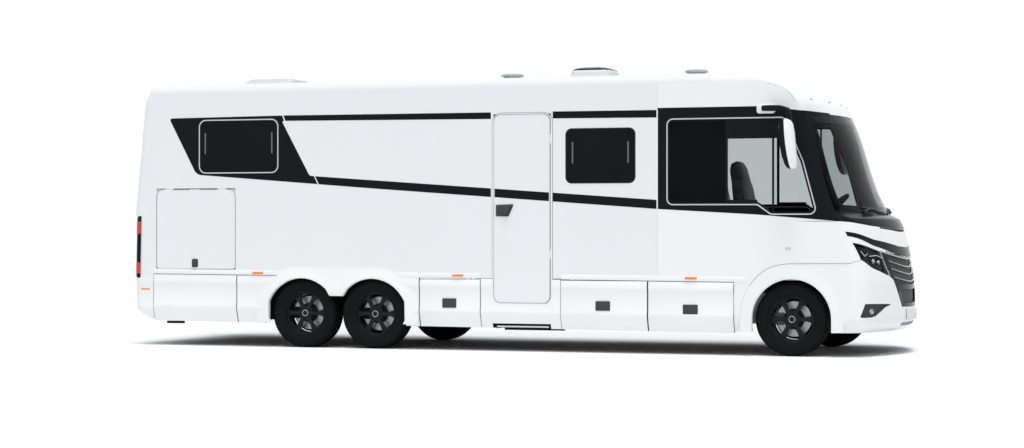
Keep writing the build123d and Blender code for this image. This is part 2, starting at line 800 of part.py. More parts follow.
def tyre_corners(x, y, radius):
    """Corners of a many-sided ring about the wheel's axis, one of them at the ground, at one distance along Y."""
    turns = [2 * pi * step / tyre_sides for step in range(tyre_sides)]
    return [Vector(x + radius * sin(turn), y, tyre_radius - radius * cos(turn)) for turn in turns]


def flat_sided(rings):
    """A solid ring with flat faces, from its sections' corners in order round the section."""
    faces = []
    for ring_now, ring_next in zip(rings, rings[1:] + rings[:1]):
        for step in range(tyre_sides):
            after = (step + 1) % tyre_sides
            corners = (ring_now[step], ring_now[after], ring_next[after], ring_next[step])
            faces.append(Face(Wire.make_polygon(corners, close=True)))
    return Solid(Shell(faces))


def ring(points, x, mode=Mode.ADD):
    """A section given by distance along Y and radius, turned about a wheel's axis."""
    with BuildSketch(Plane.YZ.offset(x)) as section:
        with BuildLine():
            Polyline(*[(y, tyre_radius + radius) for y, radius in points], close=True)
        make_face()
    revolve(section.sketch, axis=Axis((x, 0, tyre_radius), (0, 1, 0)), mode=mode)


for wheel in wheels:
    middle = wheel.side * wheel_half
    bore = (rim_radius + tyre_gap) / cos(pi / tyre_sides)
    across = [(-rim_width / 2, bore)] + [(-y, radius) for y, radius in tyre_section]
    across += [(y, radius) for y, radius in reversed(tyre_section)] + [(rim_width / 2, bore)]
    tyre = flat_sided([tyre_corners(wheel.x, middle + y, radius) for y, radius in across])
    save(tyre, f"tyre_{wheel.name}")

    with BuildPart() as rim:
        half = rim_width / 2
        ring(
            [
                (middle - half, rim_radius), (middle + half, rim_radius),
                (middle + half, rim_radius - rim_barrel), (middle - half, rim_radius - rim_barrel),
            ],
            wheel.x,
        )
        side = wheel.side
        axle_z = tyre_radius
        rod((wheel.x, side * disc_y, axle_z), (wheel.x, side * hub_end, axle_z), hub_radius)
        rod((wheel.x, side * disc_y, axle_z), (wheel.x, side * (disc_y + disc_thickness), axle_z), disc_radius)
        face = Plane(origin=(wheel.x, side * spoke_y, axle_z), x_dir=(0, 0, 1), z_dir=(0, side, 0))
        spoke_reach = rim_radius - hub_radius
        with BuildSketch(face) as spokes:
            with PolarLocations((rim_radius + hub_radius) / 2 - 5, spoke_count, start_angle=180 / spoke_count):
                Rectangle(spoke_reach, spoke_width)
        extrude(spokes.sketch, amount=spoke_depth)
        rod(
            (wheel.x, side * (disc_y - 5), axle_z), (wheel.x, side * (hub_end - 12), axle_z),
            spindle_radius + spindle_gap, mode=Mode.SUBTRACT,
        )
    save(rim.part, f"rim_{wheel.name}")

# What carries a wheel: its spindle, and the brake caliper behind it
caliper_reach = 195.0
caliper_inboard = 100.0
caliper_half = 60.0
brake_gap = 5.0
jaw = 20.0


def wheel_carrier(x, side, inner_y):
    """The spindle of one wheel with its brake caliper, reaching inboard to inner_y."""
    disc_in = disc_y - brake_gap
    disc_out = disc_y + disc_thickness + brake_gap
    rod((x, side * inner_y, tyre_radius), (x, side * (hub_end - 16), tyre_radius), spindle_radius)
    block(
        x - caliper_reach, x - caliper_inboard, side * (disc_in - jaw), side * (disc_out + jaw),
        tyre_radius - caliper_half, tyre_radius + caliper_half,
    )
    rod(
        (x, side * disc_in, tyre_radius), (x, side * disc_out, tyre_radius),
        disc_radius + brake_gap, mode=Mode.SUBTRACT,
    )
    rod((x, side * inner_y, tyre_radius), (x, side * (hub_end - 16), tyre_radius), spindle_radius)
    block(
        x - caliper_inboard - 10, x, side * inner_y, side * (disc_in - 4),
        tyre_radius - 25, tyre_radius + 25,
    )


# Steered front wheels
kingpin_y = wheel_half - kingpin_inset
arm_half = 25.0
arm_thickness = 23.0
arm_low_z = 235.0
arm_top_z = 489.0
post_radius = 26.0
for side, side_name in ((RIGHT, "right"), (LEFT, "left")):
    with BuildPart() as knuckle:
        wheel_carrier(x_front_axle, side, kingpin_y)
        post_low = arm_low_z + arm_thickness + seat_gap
        post_top = arm_top_z - arm_thickness - seat_gap
        rod((x_front_axle, side * kingpin_y, post_low), (x_front_axle, side * kingpin_y, post_top), post_radius)
        rod((x_front_axle, side * kingpin_y, arm_low_z), (x_front_axle, side * kingpin_y, arm_top_z), kingpin_radius)
    save(knuckle.part, f"knuckle_{side_name}")

# Chassis rails run the whole length below the floor
rail_inner = 400.0
rail_outer = 460.0
rail_low_z = 600.0
rail_wall = 8.0
rail_rear = x_tail + 150
rail_front = x_nose - 290
with BuildPart() as front_axle:
    x = x_front_axle
    block(x - 70, x + 70, -520, 520, arm_low_z, 330)
    for side in (RIGHT, LEFT):
        block(x - 70, x + 70, side * rail_inner, side * rail_outer, 300, rail_low_z)
        for low in (arm_low_z, arm_top_z - arm_thickness):
            block(x - arm_half, x + arm_half, side * (rail_outer - 10), side * kingpin_y, low, low + arm_thickness)
            rod((x, side * kingpin_y, low), (x, side * kingpin_y, low + arm_thickness), arm_half + 2)
            rod(
                (x, side * kingpin_y, low - 1), (x, side * kingpin_y, low + arm_thickness + 1),
                kingpin_radius + spindle_gap, mode=Mode.SUBTRACT,
            )
save(front_axle.part, "front_axle")

# Tandem rear axles: a tube across, trailing arms and stub spindles
tube_ahead = 210.0
tube_z = 420.0
tube_radius = 55.0
trail_inner = 790.0
trail_outer = 838.0
with BuildPart() as rear_axles:
    for x in (x_mid_axle, x_rear_axle):
        for side in (RIGHT, LEFT):
            wheel_carrier(x, side, trail_outer - 5)
        rod((x + tube_ahead, -trail_outer, tube_z), (x + tube_ahead, trail_outer, tube_z), tube_radius)
        for side in (RIGHT, LEFT):
            block(x - 45, x + tube_ahead, side * trail_inner, side * trail_outer, 325, 450)
            block(
                x + tube_ahead - 45, x + tube_ahead + 45, side * rail_inner, side * rail_outer,
                tube_z, rail_low_z,
            )
save(rear_axles.part, "rear_axles")

tow_eye_radius = 20.0
tow_eye_x = x_tail + 95
tow_plate_z = 205.0
tow_plate = 25.0
cross_half = 30.0
cross_low_z = rail_low_z + 20
cross_top_z = wall_low_z - 20
cross_members = [
    rail_rear + 40, x_rear_axle - 790, x_rear_axle + 400, x_mid_axle + 1010,
    x_mid_axle + 2210, x_mid_axle + 3210, x_front_axle - 410, rail_front - 30,
]
jack_pads = [x_front_axle - 600, x_mid_axle + 600]
jack_half = 40.0
jack_pad = 10.0
with BuildPart() as chassis_frame:
    for side in (RIGHT, LEFT):
        block(rail_rear, rail_front, side * rail_inner, side * rail_outer, rail_low_z, wall_low_z)
        block(
            rail_rear - 1, rail_front + 1, side * (rail_inner + rail_wall), side * (rail_outer + 1),
            rail_low_z + rail_wall, wall_low_z - rail_wall, mode=Mode.SUBTRACT,
        )
        for x in jack_pads:
            block(
                x - jack_half, x + jack_half, side * rail_inner, side * rail_outer,
                rail_low_z - jack_pad, rail_low_z,
            )
    for x in cross_members:
        cross_reach = rail_inner - seat_gap
        block(x - cross_half, x + cross_half, -cross_reach, cross_reach, cross_low_z, cross_top_z)
    block(tow_eye_x - 40, tow_eye_x + 150, -rail_outer, -rail_inner, tow_plate_z, tow_plate_z + tow_plate)
    block(tow_eye_x + 70, tow_eye_x + 150, -rail_outer, -rail_inner, tow_plate_z, rail_low_z + 2)
    middle = (rail_inner + rail_outer) / 2
    rod(
        (tow_eye_x, -middle, tow_plate_z - 1), (tow_eye_x, -middle, tow_plate_z + tow_plate + 1),
        tow_eye_radius, mode=Mode.SUBTRACT,
    )
save(chassis_frame.part, "chassis_frame")

engine_rear = x_front_axle + 300
engine_front = rail_front - 60
with BuildPart() as engine_block:
    block(engine_rear, engine_front, -300, 300, 430, 960)
    block(engine_rear + 100, engine_rear + 250, -rail_inner, rail_inner, 620, 680)
save(engine_block.part, "engine_block")

# Floor, with the well behind the entrance door
floor_front = x_front_axle + 290
well_inboard = 380.0
well_wall = 16.0
well_floor_z = 474.0
inside = half_width - wall - seat_gap
with BuildPart() as floor_panel:
    block(x_tail + wall + 10, floor_front, -inside, inside, wall_low_z, floor_top_z)
    for side in (RIGHT, LEFT):
        block(x_tail, x_tail + 130, side * (inside - 60), side * half_width, 0, 1000, mode=Mode.SUBTRACT)
    block(
        x_door, x_door_front, -inside - 1, well_inboard - half_width,
        wall_low_z - 1, floor_top_z + 1, mode=Mode.SUBTRACT,
    )
save(floor_panel.part, "floor_panel")

guide_low_z = 232.0
guide_inset = 75.0
with BuildPart() as step_well:
    block(x_door, x_door_front, panel_gap - inside, well_inboard - half_width, well_floor_z, wall_low_z)
    block(
        x_door + well_wall, x_door_front - well_wall, -inside, well_inboard - half_width - well_wall,
        well_floor_z + well_wall, wall_low_z + 1, mode=Mode.SUBTRACT,
    )
    for x in (x_door, x_door_front - well_wall):
        block(x, x + well_wall, guide_inset - half_width, well_inboard - half_width, guide_low_z, well_floor_z + 1)
save(step_well.part, "step_well")

# The entry step slides out sideways between the guides below the well
with BuildPart() as entry_step:
    low_x = x_door + well_wall + seat_gap
    high_x = x_door_front - well_wall - seat_gap
    block(low_x, high_x, 50 - half_width, 50 - half_width + step_depth, step_low_z, step_low_z + step_thickness)
    for x in (low_x, high_x - 40):
        block(x, x + 40, 50 - half_width, well_inboard - half_width - 20, step_low_z, step_low_z + step_thickness)
save(entry_step.part, "entry_step")

# Dashboard with the bulkhead below it
with BuildPart() as dashboard:
    x = x_front_axle
    prism(
        [
            (x + 250, floor_top_z), (x + 250, 1340), (x + 300, 1385), (x + 540, 1340),
            (x + 540, 1300), (x + 310, 1180), (x + 285, floor_top_z),
        ],
        Plane.XZ.offset(-1000), 2000,
    )
save(dashboard.part, "dashboard")

driver_y = 560.0
wheel_tilt = Vector(-0.64, 0, 0.768)
steering_hub = Vector(x_front_axle + 90, driver_y, 1480)
with BuildPart() as steering_wheel:
    face = Plane(origin=steering_hub, x_dir=(0, 1, 0), z_dir=wheel_tilt)
    with Locations(face):
        Torus(190, 14)
        Cylinder(45, 30)
        Box(380, 30, 12)
    foot = steering_hub - wheel_tilt * 282
    rod((steering_hub.X, driver_y, steering_hub.Z), (foot.X, driver_y, foot.Z), 25)
    add(dashboard.part, mode=Mode.SUBTRACT)
save(steering_wheel.part, "steering_wheel")

# Cab seats: a pedestal each, with a cushion and a back
seat_y = 560.0
seat_rear = x_front_axle - 950
seat_top_z = 1180.0
with BuildPart() as seat_frames:
    for side in (RIGHT, LEFT):
        block(
            seat_rear + 160, seat_rear + 560, side * (seat_y - 170), side * (seat_y + 170),
            floor_top_z, seat_top_z,
        )
save(seat_frames.part, "seat_frames")

with BuildPart() as cab_seats:
    x = seat_rear
    for side in (RIGHT, LEFT):
        start = seat_y - 240 if side == LEFT else -seat_y - 240
        low = seat_top_z + seat_gap
        prism(
            [
                (x + 110, low), (x + 640, low), (x + 650, low + 130), (x + 190, low + 120),
                (x + 70, low + 790), (x - 30, low + 780), (x + 70, low + 60),
            ],
            Plane.XZ.offset(-start - 480), 480,
        )
save(cab_seats.part, "cab_seats")
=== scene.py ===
import math

import bmesh
import bpy
import numpy as np
from mathutils import Matrix, Vector


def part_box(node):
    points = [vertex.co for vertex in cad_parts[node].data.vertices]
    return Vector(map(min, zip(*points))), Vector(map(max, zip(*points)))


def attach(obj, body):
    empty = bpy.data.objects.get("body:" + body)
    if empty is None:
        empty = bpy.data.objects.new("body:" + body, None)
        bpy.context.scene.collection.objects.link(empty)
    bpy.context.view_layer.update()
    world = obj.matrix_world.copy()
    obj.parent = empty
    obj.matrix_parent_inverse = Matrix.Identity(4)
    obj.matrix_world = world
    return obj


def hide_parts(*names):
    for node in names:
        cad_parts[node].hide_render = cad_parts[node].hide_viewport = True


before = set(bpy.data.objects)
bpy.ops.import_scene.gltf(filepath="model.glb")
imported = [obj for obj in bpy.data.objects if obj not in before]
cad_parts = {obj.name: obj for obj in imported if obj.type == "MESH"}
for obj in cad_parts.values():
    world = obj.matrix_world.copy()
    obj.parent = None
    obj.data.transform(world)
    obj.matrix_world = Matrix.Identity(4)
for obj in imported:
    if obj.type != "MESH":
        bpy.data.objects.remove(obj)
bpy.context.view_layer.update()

bl_info = {
    "name": "Motorhome Finish",
    "version": (1, 0, 0),
    "blender": (4, 5, 0),
    "location": "View3D > Sidebar > Motorhome",
    "description": "Dresses the frame of a motorhome with panels, glass, wheels, trim and paint",
    "category": "Object",
}

# Metres. X points forward, Y to the left, Z up. The entrance is on the right, at negative Y.
RIGHT, LEFT = -1, 1
SIDES = {"right": RIGHT, "left": LEFT}


def centre(node):
    """The middle of a frame node's box."""
    low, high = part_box(node)
    return (low + high) / 2


# Places read from the frame
X_TAIL, X_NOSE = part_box("rear_bumper")[0].x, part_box("front_panel")[1].x
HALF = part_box("rear_wall")[1].y
X_FRONT = centre("tyre_front_right").x
X_MID = centre("tyre_mid_right").x
X_REAR = centre("tyre_rear_right").x
WHEEL_Y = centre("tyre_front_left").y
TYRE_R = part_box("tyre_front_left")[1].z / 2
WALL_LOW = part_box("floor_panel")[0].z
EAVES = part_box("rear_wall")[1].z
X_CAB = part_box("side_wall_right")[1].x
X_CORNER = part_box("side_wall_right")[0].x
X_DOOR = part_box("entrance_door")[0].x
DOOR_LOW, DOOR_TOP = (corner.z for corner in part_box("entrance_door"))
X_GARAGE, X_GARAGE_END = (corner.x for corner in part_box("garage_door_right"))
GARAGE_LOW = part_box("garage_door_right")[0].z
X_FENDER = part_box("flap_right_front")[1].x
SEAT_Y = centre("seat_frames").y + 0.560
DOOR_WIDTH = 0.597
GARAGE_TOP = GARAGE_LOW + 0.844
SHOULDER = 0.085
CROWN = 2.840

# Level sections of the body: height, setback behind the foremost point, side tuck,
# radius of the bowed front and radius of its corners
LEVELS = np.array([
    (0.225, 0.120, 0.050, 2.4, 0.220),
    (0.290, 0.035, 0.020, 2.4, 0.220),
    (0.370, 0.000, 0.000, 2.4, 0.220),
    (0.700, 0.005, 0.000, 2.4, 0.220),
    (0.911, 0.042, 0.000, 2.4, 0.220),
    (1.100, 0.075, 0.000, 2.4, 0.220),
    (1.340, 0.158, 0.000, 2.5, 0.180),
    (1.400, 0.267, 0.000, 2.6, 0.150),
    (2.360, 0.650, 0.000, 3.2, 0.100),
    (2.480, 0.729, 0.000, 5.0, 0.090),
    (2.563, 0.842, 0.000, 8.0, 0.080),
    (2.647, 1.000, 0.000, 11.0, 0.075),
    (2.734, 1.226, 0.000, 14.0, 0.070),
    (2.800, 1.440, 0.000, 15.0, 0.065),
    (2.850, 1.629, 0.000, 16.0, 0.060),
])

# Outlines of the nose seen from the front, from the middle out: distance from the middle, height
SCREEN_LOW = [(0, 1.390), (0.600, 1.398), (1.123, 1.422)]
SCREEN_TOP = [(0, 2.385), (1.077, 2.385)]
COWL_LOW = [(0, 1.233), (0.150, 1.233), (0.809, 1.277), (1.050, 1.305), (1.150, 1.322)]
BONNET_LOW = [(0, 0.960), (0.650, 1.026)]
BONNET_TOP = [(0, 1.233), (0.150, 1.233), (0.650, 1.266)]
GRILLE_LOW = [(0, 0.466), (0.395, 0.475), (0.597, 0.745)]
LAMP_OUTLINE = [(0.632, 0.770), (0.745, 1.022), (1.118, 1.116), (1.078, 0.947), (0.950, 0.868)]
FOG_OUTLINE = [(0.599, 0.510), (1.084, 0.521), (1.120, 0.386), (0.942, 0.386), (0.740, 0.487)]
ACCENT_TOP = [(0, 1.062), (0.300, 1.075), (0.841, 1.145), (1.139, 1.222)]
ACCENT_LOW = [(0, 0.966), (0.400, 0.992), (0.870, 1.086), (1.134, 1.179)]

# Outlines of the cab seen from the side: distance along X from the front axle, height
CAB_WINDOW = [
    (-1.241, 2.340), (-1.241, 1.488), (-0.324, 1.486), (-0.191, 1.391), (0.272, 1.391), (0.134, 1.902),
    (-0.052, 2.340)
]
CAB_BAND = [
    (-1.339, 2.452), (-1.339, 1.446), (-0.327, 1.389), (0.101, 1.354), (0.456, 1.325), (0.700, 1.305),
    (0.700, 2.380), (0.100, 2.405), (-0.260, 2.452)
]

# Bands of dark vinyl on the side: distance along X from the front axle, height
WEDGE = [
    (-6.772, 2.432), (-6.447, 1.826), (-5.033, 1.717), (-5.077, 1.802), (-5.126, 1.806), (-5.443, 2.379),
    (-5.419, 2.386), (-5.443, 2.443)
]
UPPER_BAND = [(-5.428, 2.443), (-5.403, 2.386), (-1.349, 2.357), (-1.349, 2.432)]
LOWER_BAND = [(-5.019, 1.715), (-5.063, 1.800), (-1.349, 1.537), (-1.349, 1.447), (-4.326, 1.662)]

FRONT_ARCH_X, FRONT_ARCH_R = 0.016, 0.396
REAR_ARCH_Z, REAR_ARCH_R = 0.320, 0.410
PANEL_GAP = 0.006
HINGE_GAP = 0.014


class PaintSettings(bpy.types.PropertyGroup):
    """Colours that a user would change."""

    body: bpy.props.FloatVectorProperty(
        name="Body", description="Colour of the panels and mouldings", subtype="COLOR", size=3,
        min=0, max=1, default=(0.82, 0.838, 0.858))
    band: bpy.props.FloatVectorProperty(
        name="Bands", description="Colour of the dark bands and the cab's surround", subtype="COLOR", size=3,
        min=0, max=1, default=(0.008, 0.010, 0.012))
    trim: bpy.props.FloatVectorProperty(
        name="Trim", description="Colour of the black plastic parts", subtype="COLOR", size=3,
        min=0, max=1, default=(0.012, 0.013, 0.014))
    wheel: bpy.props.FloatVectorProperty(
        name="Wheels", description="Colour of the alloy wheels", subtype="COLOR", size=3,
        min=0, max=1, default=(0.012, 0.013, 0.015))
    leather: bpy.props.FloatVectorProperty(
        name="Leather", description="Colour of the cab seats", subtype="COLOR", size=3,
        min=0, max=1, default=(0.022, 0.023, 0.025))
    marker: bpy.props.FloatVectorProperty(
        name="Side markers", description="Colour of the side marker lamps", subtype="COLOR", size=3,
        min=0, max=1, default=(0.85, 0.20, 0.02))


class TrimSettings(bpy.types.PropertyGroup):
    """Sizes that a user would change."""

    seal_width: bpy.props.FloatProperty(
        name="Seal width", description="Width of the grey seals round doors", unit="LENGTH",
        min=0.002, max=0.02, default=0.005)
    frame_width: bpy.props.FloatProperty(
        name="Window frame", description="Width of the bright frames round windows", unit="LENGTH",
        min=0.004, max=0.03, default=0.012)
    band_proud: bpy.props.FloatProperty(
        name="Band thickness", description="How far the dark bands stand proud of the wall", unit="LENGTH",
        min=0.0005, max=0.003, default=0.001)
    flare_proud: bpy.props.FloatProperty(
        name="Flare depth", description="How far the wheel arch flares stand out", unit="LENGTH",
        min=0.005, max=0.04, default=0.020)
    tread_depth: bpy.props.FloatProperty(
        name="Tread depth", description="Depth of the grooves between tread blocks", unit="LENGTH",
        min=0.003, max=0.015, default=0.008)
    tread_count: bpy.props.IntProperty(
        name="Tread blocks", description="Rows of tread blocks round a tyre", min=30, max=90, default=60)


def paint_settings():
    return bpy.context.scene.motorhome_paint


def trim_settings():
    return bpy.context.scene.motorhome_trim


# Shader groups and materials

def shader_group(name, inputs, outputs):
    """A node group with its sockets: name, kind and default of each input."""
    group = bpy.data.node_groups.new(name, "ShaderNodeTree")
    for label, kind, value in inputs:
        socket = group.interface.new_socket(label, in_out="INPUT", socket_type=kind)
        socket.default_value = value
    for label, kind in outputs:
        group.interface.new_socket(label, in_out="OUTPUT", socket_type=kind)
    return group, group.nodes.new("NodeGroupInput"), group.nodes.new("NodeGroupOutput")


def mottle_group():
    """Slow and fine variation of a colour, with a matching variation of roughness."""
    if "mottle" in bpy.data.node_groups:
        return bpy.data.node_groups["mottle"]
    group, start, end = shader_group("mottle", [
        ("Colour", "NodeSocketColor", (0.5, 0.5, 0.5, 1)),
        ("Second colour", "NodeSocketColor", (0.4, 0.4, 0.4, 1)),
        ("Scale", "NodeSocketFloat", 3.0), ("Rough low", "NodeSocketFloat", 0.3),
        ("Rough high", "NodeSocketFloat", 0.4),
    ], [("Colour", "NodeSocketColor"), ("Roughness", "NodeSocketFloat")])
    nodes, link = group.nodes, group.links.new
    place = nodes.new("ShaderNodeTexCoord")
    noise = nodes.new("ShaderNodeTexNoise")
    noise.inputs["Detail"].default_value = 6
    mix = nodes.new("ShaderNodeMix")
    mix.data_type = "RGBA"
    span = nodes.new("ShaderNodeMapRange")
    link(place.outputs["Object"], noise.inputs["Vector"])
    link(start.outputs["Scale"], noise.inputs["Scale"])
    link(noise.outputs["Fac"], mix.inputs["Factor"])
    link(start.outputs["Colour"], mix.inputs["A"])
    link(start.outputs["Second colour"], mix.inputs["B"])
    link(noise.outputs["Fac"], span.inputs["Value"])
    link(start.outputs["Rough low"], span.inputs["To Min"])
    link(start.outputs["Rough high"], span.inputs["To Max"])
    link(mix.outputs["Result"], end.inputs["Colour"])
    link(span.outputs["Result"], end.inputs["Roughness"])
    return group


def grain_group():
    """Heights of a grained or slightly rippled surface."""
    if "grain" in bpy.data.node_groups:
        return bpy.data.node_groups["grain"]
    group, start, end = shader_group("grain", [
        ("Scale", "NodeSocketFloat", 200.0), ("Cells", "NodeSocketFloat", 0.0),
    ], [("Height", "NodeSocketFloat")])
    nodes, link = group.nodes, group.links.new
    place = nodes.new("ShaderNodeTexCoord")
    noise = nodes.new("ShaderNodeTexNoise")
    noise.inputs["Detail"].default_value = 3
    cells = nodes.new("ShaderNodeTexVoronoi")
    cells.feature = "DISTANCE_TO_EDGE"
    mix = nodes.new("ShaderNodeMix")
    for texture in (noise, cells):
        link(place.outputs["Object"], texture.inputs["Vector"])
        link(start.outputs["Scale"], texture.inputs["Scale"])
    link(start.outputs["Cells"], mix.inputs["Factor"])
    link(noise.outputs["Fac"], mix.inputs["A"])
    link(cells.outputs["Distance"], mix.inputs["B"])
    link(mix.outputs["Result"], end.inputs["Height"])
    return group


def shade(colour, factor):
    """A colour made lighter or darker, with alpha."""
    return (*(min(1.0, channel * factor) for channel in colour), 1)


def finish(
    name, colour, rough=(0.3, 0.4), second=0.9, scale=3.0, grain=0.0, grain_scale=300.0, cells=0.0, **sockets
):
    """A material whose colour, roughness and bump vary over the surface. Constant sockets come by name."""
    if name in bpy.data.materials:
        return bpy.data.materials[name]
    material = bpy.data.materials.new(name)
    material.use_nodes = True
    nodes, link = material.node_tree.nodes, material.node_tree.links.new
    shader = nodes["Principled BSDF"]
    mottle = nodes.new("ShaderNodeGroup")
    mottle.node_tree = mottle_group()
    mottle.inputs["Colour"].default_value = shade(colour, 1)
    mottle.inputs["Second colour"].default_value = shade(colour, second)
    mottle.inputs["Scale"].default_value = scale
    mottle.inputs["Rough low"].default_value, mottle.inputs["Rough high"].default_value = rough
    link(mottle.outputs["Colour"], shader.inputs["Base Color"])
    link(mottle.outputs["Roughness"], shader.inputs["Roughness"])
    if grain:
        height = nodes.new("ShaderNodeGroup")
        height.node_tree = grain_group()
        height.inputs["Scale"].default_value = grain_scale
        height.inputs["Cells"].default_value = cells
        bump = nodes.new("ShaderNodeBump")
        bump.inputs["Strength"].default_value = grain
        bump.inputs["Distance"].default_value = 0.001
        link(height.outputs["Height"], bump.inputs["Height"])
        link(bump.outputs["Normal"], shader.inputs["Normal"])
    for label, value in sockets.items():
        shader.inputs[label.replace("_", " ")].default_value = value
    return material


def gelcoat():
    return finish(
        "white_gelcoat", paint_settings().body, (0.26, 0.34), 0.975, 1.5, grain=0.04, grain_scale=60,
        Coat_Weight=0.4, Coat_Roughness=0.06
    )


def moulding():
    return finish(
        "white_moulding", paint_settings().body, (0.24, 0.32), 0.975, 2.0, grain=0.03, grain_scale=90,
        Coat_Weight=0.4, Coat_Roughness=0.05
    )


def band_vinyl():
    return finish("band_vinyl", paint_settings().band, (0.34, 0.44), 1.3, 2.0, grain=0.03, grain_scale=200,
                  Specular_IOR_Level=0.03)


def gloss_black():
    return finish("gloss_black", paint_settings().band, (0.12, 0.2), 1.2, 3.0, Specular_IOR_Level=0.05)


def black_plastic():
    return finish("black_plastic", paint_settings().trim, (0.5, 0.62), 1.4, 8.0, grain=0.25, grain_scale=700,
                  Specular_IOR_Level=0.06)


# Light grey of the door seal, also used for the painted shade line along the visor's crease.
def light_seal_and_crease_shade():
    return finish("light_seal_and_crease_shade", (0.42, 0.43, 0.44), (0.55, 0.65), 0.9, 12.0, grain=0.1, grain_scale=500,
                  Specular_IOR_Level=0.3)


# Grey of the rubber seals and joints, also used for the painted shadow strip under the sill rail.
def seal_rubber_and_shadow_grey():
    return finish("seal_rubber_and_shadow_grey", (0.16, 0.17, 0.18), (0.6, 0.7), 1.2, 12.0, grain=0.15, grain_scale=500,
                  Specular_IOR_Level=0.3)


def dark_gap():
    return finish("shut_line", (0.02, 0.022, 0.024), (0.8, 0.9), 1.3, 12.0, grain=0.1, Specular_IOR_Level=0.1)


def tyre_rubber():
    return finish("tyre_rubber", (0.0065, 0.0068, 0.007), (0.62, 0.78), 1.8, 14.0, grain=0.3, grain_scale=500,
                  Specular_IOR_Level=0.04)


def wheel_alloy():
    return finish("wheel_alloy", paint_settings().wheel, (0.28, 0.36), 1.3, 10.0, grain=0.04, grain_scale=300,
                  Specular_IOR_Level=0.10)


def bright_metal():
    return finish("bright_metal", (0.66, 0.67, 0.68), (0.16, 0.26), 0.9, 20.0, Metallic=1.0)


def cast_silver():
    return finish(
        "cast_silver", (0.10, 0.10, 0.105), (0.5, 0.65), 0.7, 30.0, grain=0.3, grain_scale=250, Metallic=0.6
    )


def disc_steel():
    return finish(
        "disc_steel", (0.50, 0.51, 0.52), (0.3, 0.42), 0.55, 40.0, grain=0.2, grain_scale=300, Metallic=0.8
    )


# Black of the chassis, axles and step, made darker than their paint to stand in for the shade under the body:
# their own black with painted shade.
def chassis_black_and_shade():
    return finish("chassis_black_and_shade", (0.007, 0.007, 0.008), (0.5, 0.65), 1.8, 9.0, grain=0.2, grain_scale=200,
                  Specular_IOR_Level=0.05)


def frame_silver():
    return finish("frame_silver", (0.62, 0.63, 0.62), (0.3, 0.38), 0.9, 12.0, Metallic=0.5)


def cabin_trim():
    return finish("cabin_trim", (0.014, 0.015, 0.017), (0.8, 0.9), 1.4, 15.0, grain=0.4, grain_scale=900,
                  Specular_IOR_Level=0.06)


def pane_dark():
    return finish("pane_dark", (0.005, 0.006, 0.007), (0.05, 0.10), 1.5, 2.0, Specular_IOR_Level=0.06)


def clear_pane(name, tint):
    """Tinted glass that shows what lies behind it."""
    return finish(name, tint, (0.0, 0.02), 0.97, 1.0, Transmission_Weight=1.0, IOR=1.06)


def lens(name, colour, glow=0.0):
    material = finish(name, colour, (0.12, 0.2), 0.8, 60.0, grain=0.3, grain_scale=260, cells=1.0,
                      Coat_Weight=0.5, Coat_Roughness=0.05)
    if glow:
        shader = material.node_tree.nodes["Principled BSDF"]
        shader.inputs["Emission Color"].default_value = shade(colour, 1)
        shader.inputs["Emission Strength"].default_value = glow
    return material


# Shapes

def grow(points, amount):
    """A closed outline pushed outward, or inward with a negative amount."""
    count = len(points)
    area = sum(points[i - 1][0] * points[i][1] - points[i][0] * points[i - 1][1] for i in range(count))
    turn = 1 if area > 0 else -1
    grown = []
    for i in range(count):
        before, here, after = (Vector(points[k % count]) for k in (i - 1, i, i + 1))
        a, b = (here - before).normalized(), (after - here).normalized()
        normal_a, normal_b = Vector((a.y, -a.x)) * turn, Vector((b.y, -b.x)) * turn
        middle = normal_a + normal_b
        grown.append(tuple(here + middle * (2 * amount / middle.length_squared)))
    return grown


def rounded(points, radius, steps=6):
    """A closed outline with its corners rounded. radius is one value or one for each corner."""
    count = len(points)
    radii = [radius] * count if isinstance(radius, (int, float)) else radius
    out = []
    for i in range(count):
        before, here, after = (Vector(points[k % count]) for k in (i - 1, i, i + 1))
        a, b = (before - here).normalized(), (after - here).normalized()
        half = a.angle(b) / 2
        reach = min(radii[i] / math.tan(half), (before - here).length * 0.49, (after - here).length * 0.49)
        if radii[i] <= 0 or half > 1.56:
            out.append(tuple(here))
            continue
        size = reach * math.tan(half)
        middle = here + (a + b).normalized() * (size / math.sin(half))
        start, end = here + a * reach - middle, here + b * reach - middle
        sweep = start.angle_signed(end)
        for k in range(steps + 1):
            turn = Matrix.Rotation(-sweep * k / steps, 2)
            out.append(tuple(middle + turn @ start))
    return out


def box_outline(x0, x1, z0, z1):
    return [(x0, z0), (x1, z0), (x1, z1), (x0, z1)]


def from_axle(points):
    """Points given from the front axle, moved to the frame's X."""
    return [(x + X_FRONT, z) for x, z in points]


def turns(count):
    """Angles all the way round, evenly spaced."""
    return [2 * math.pi * k / count for k in range(count)]


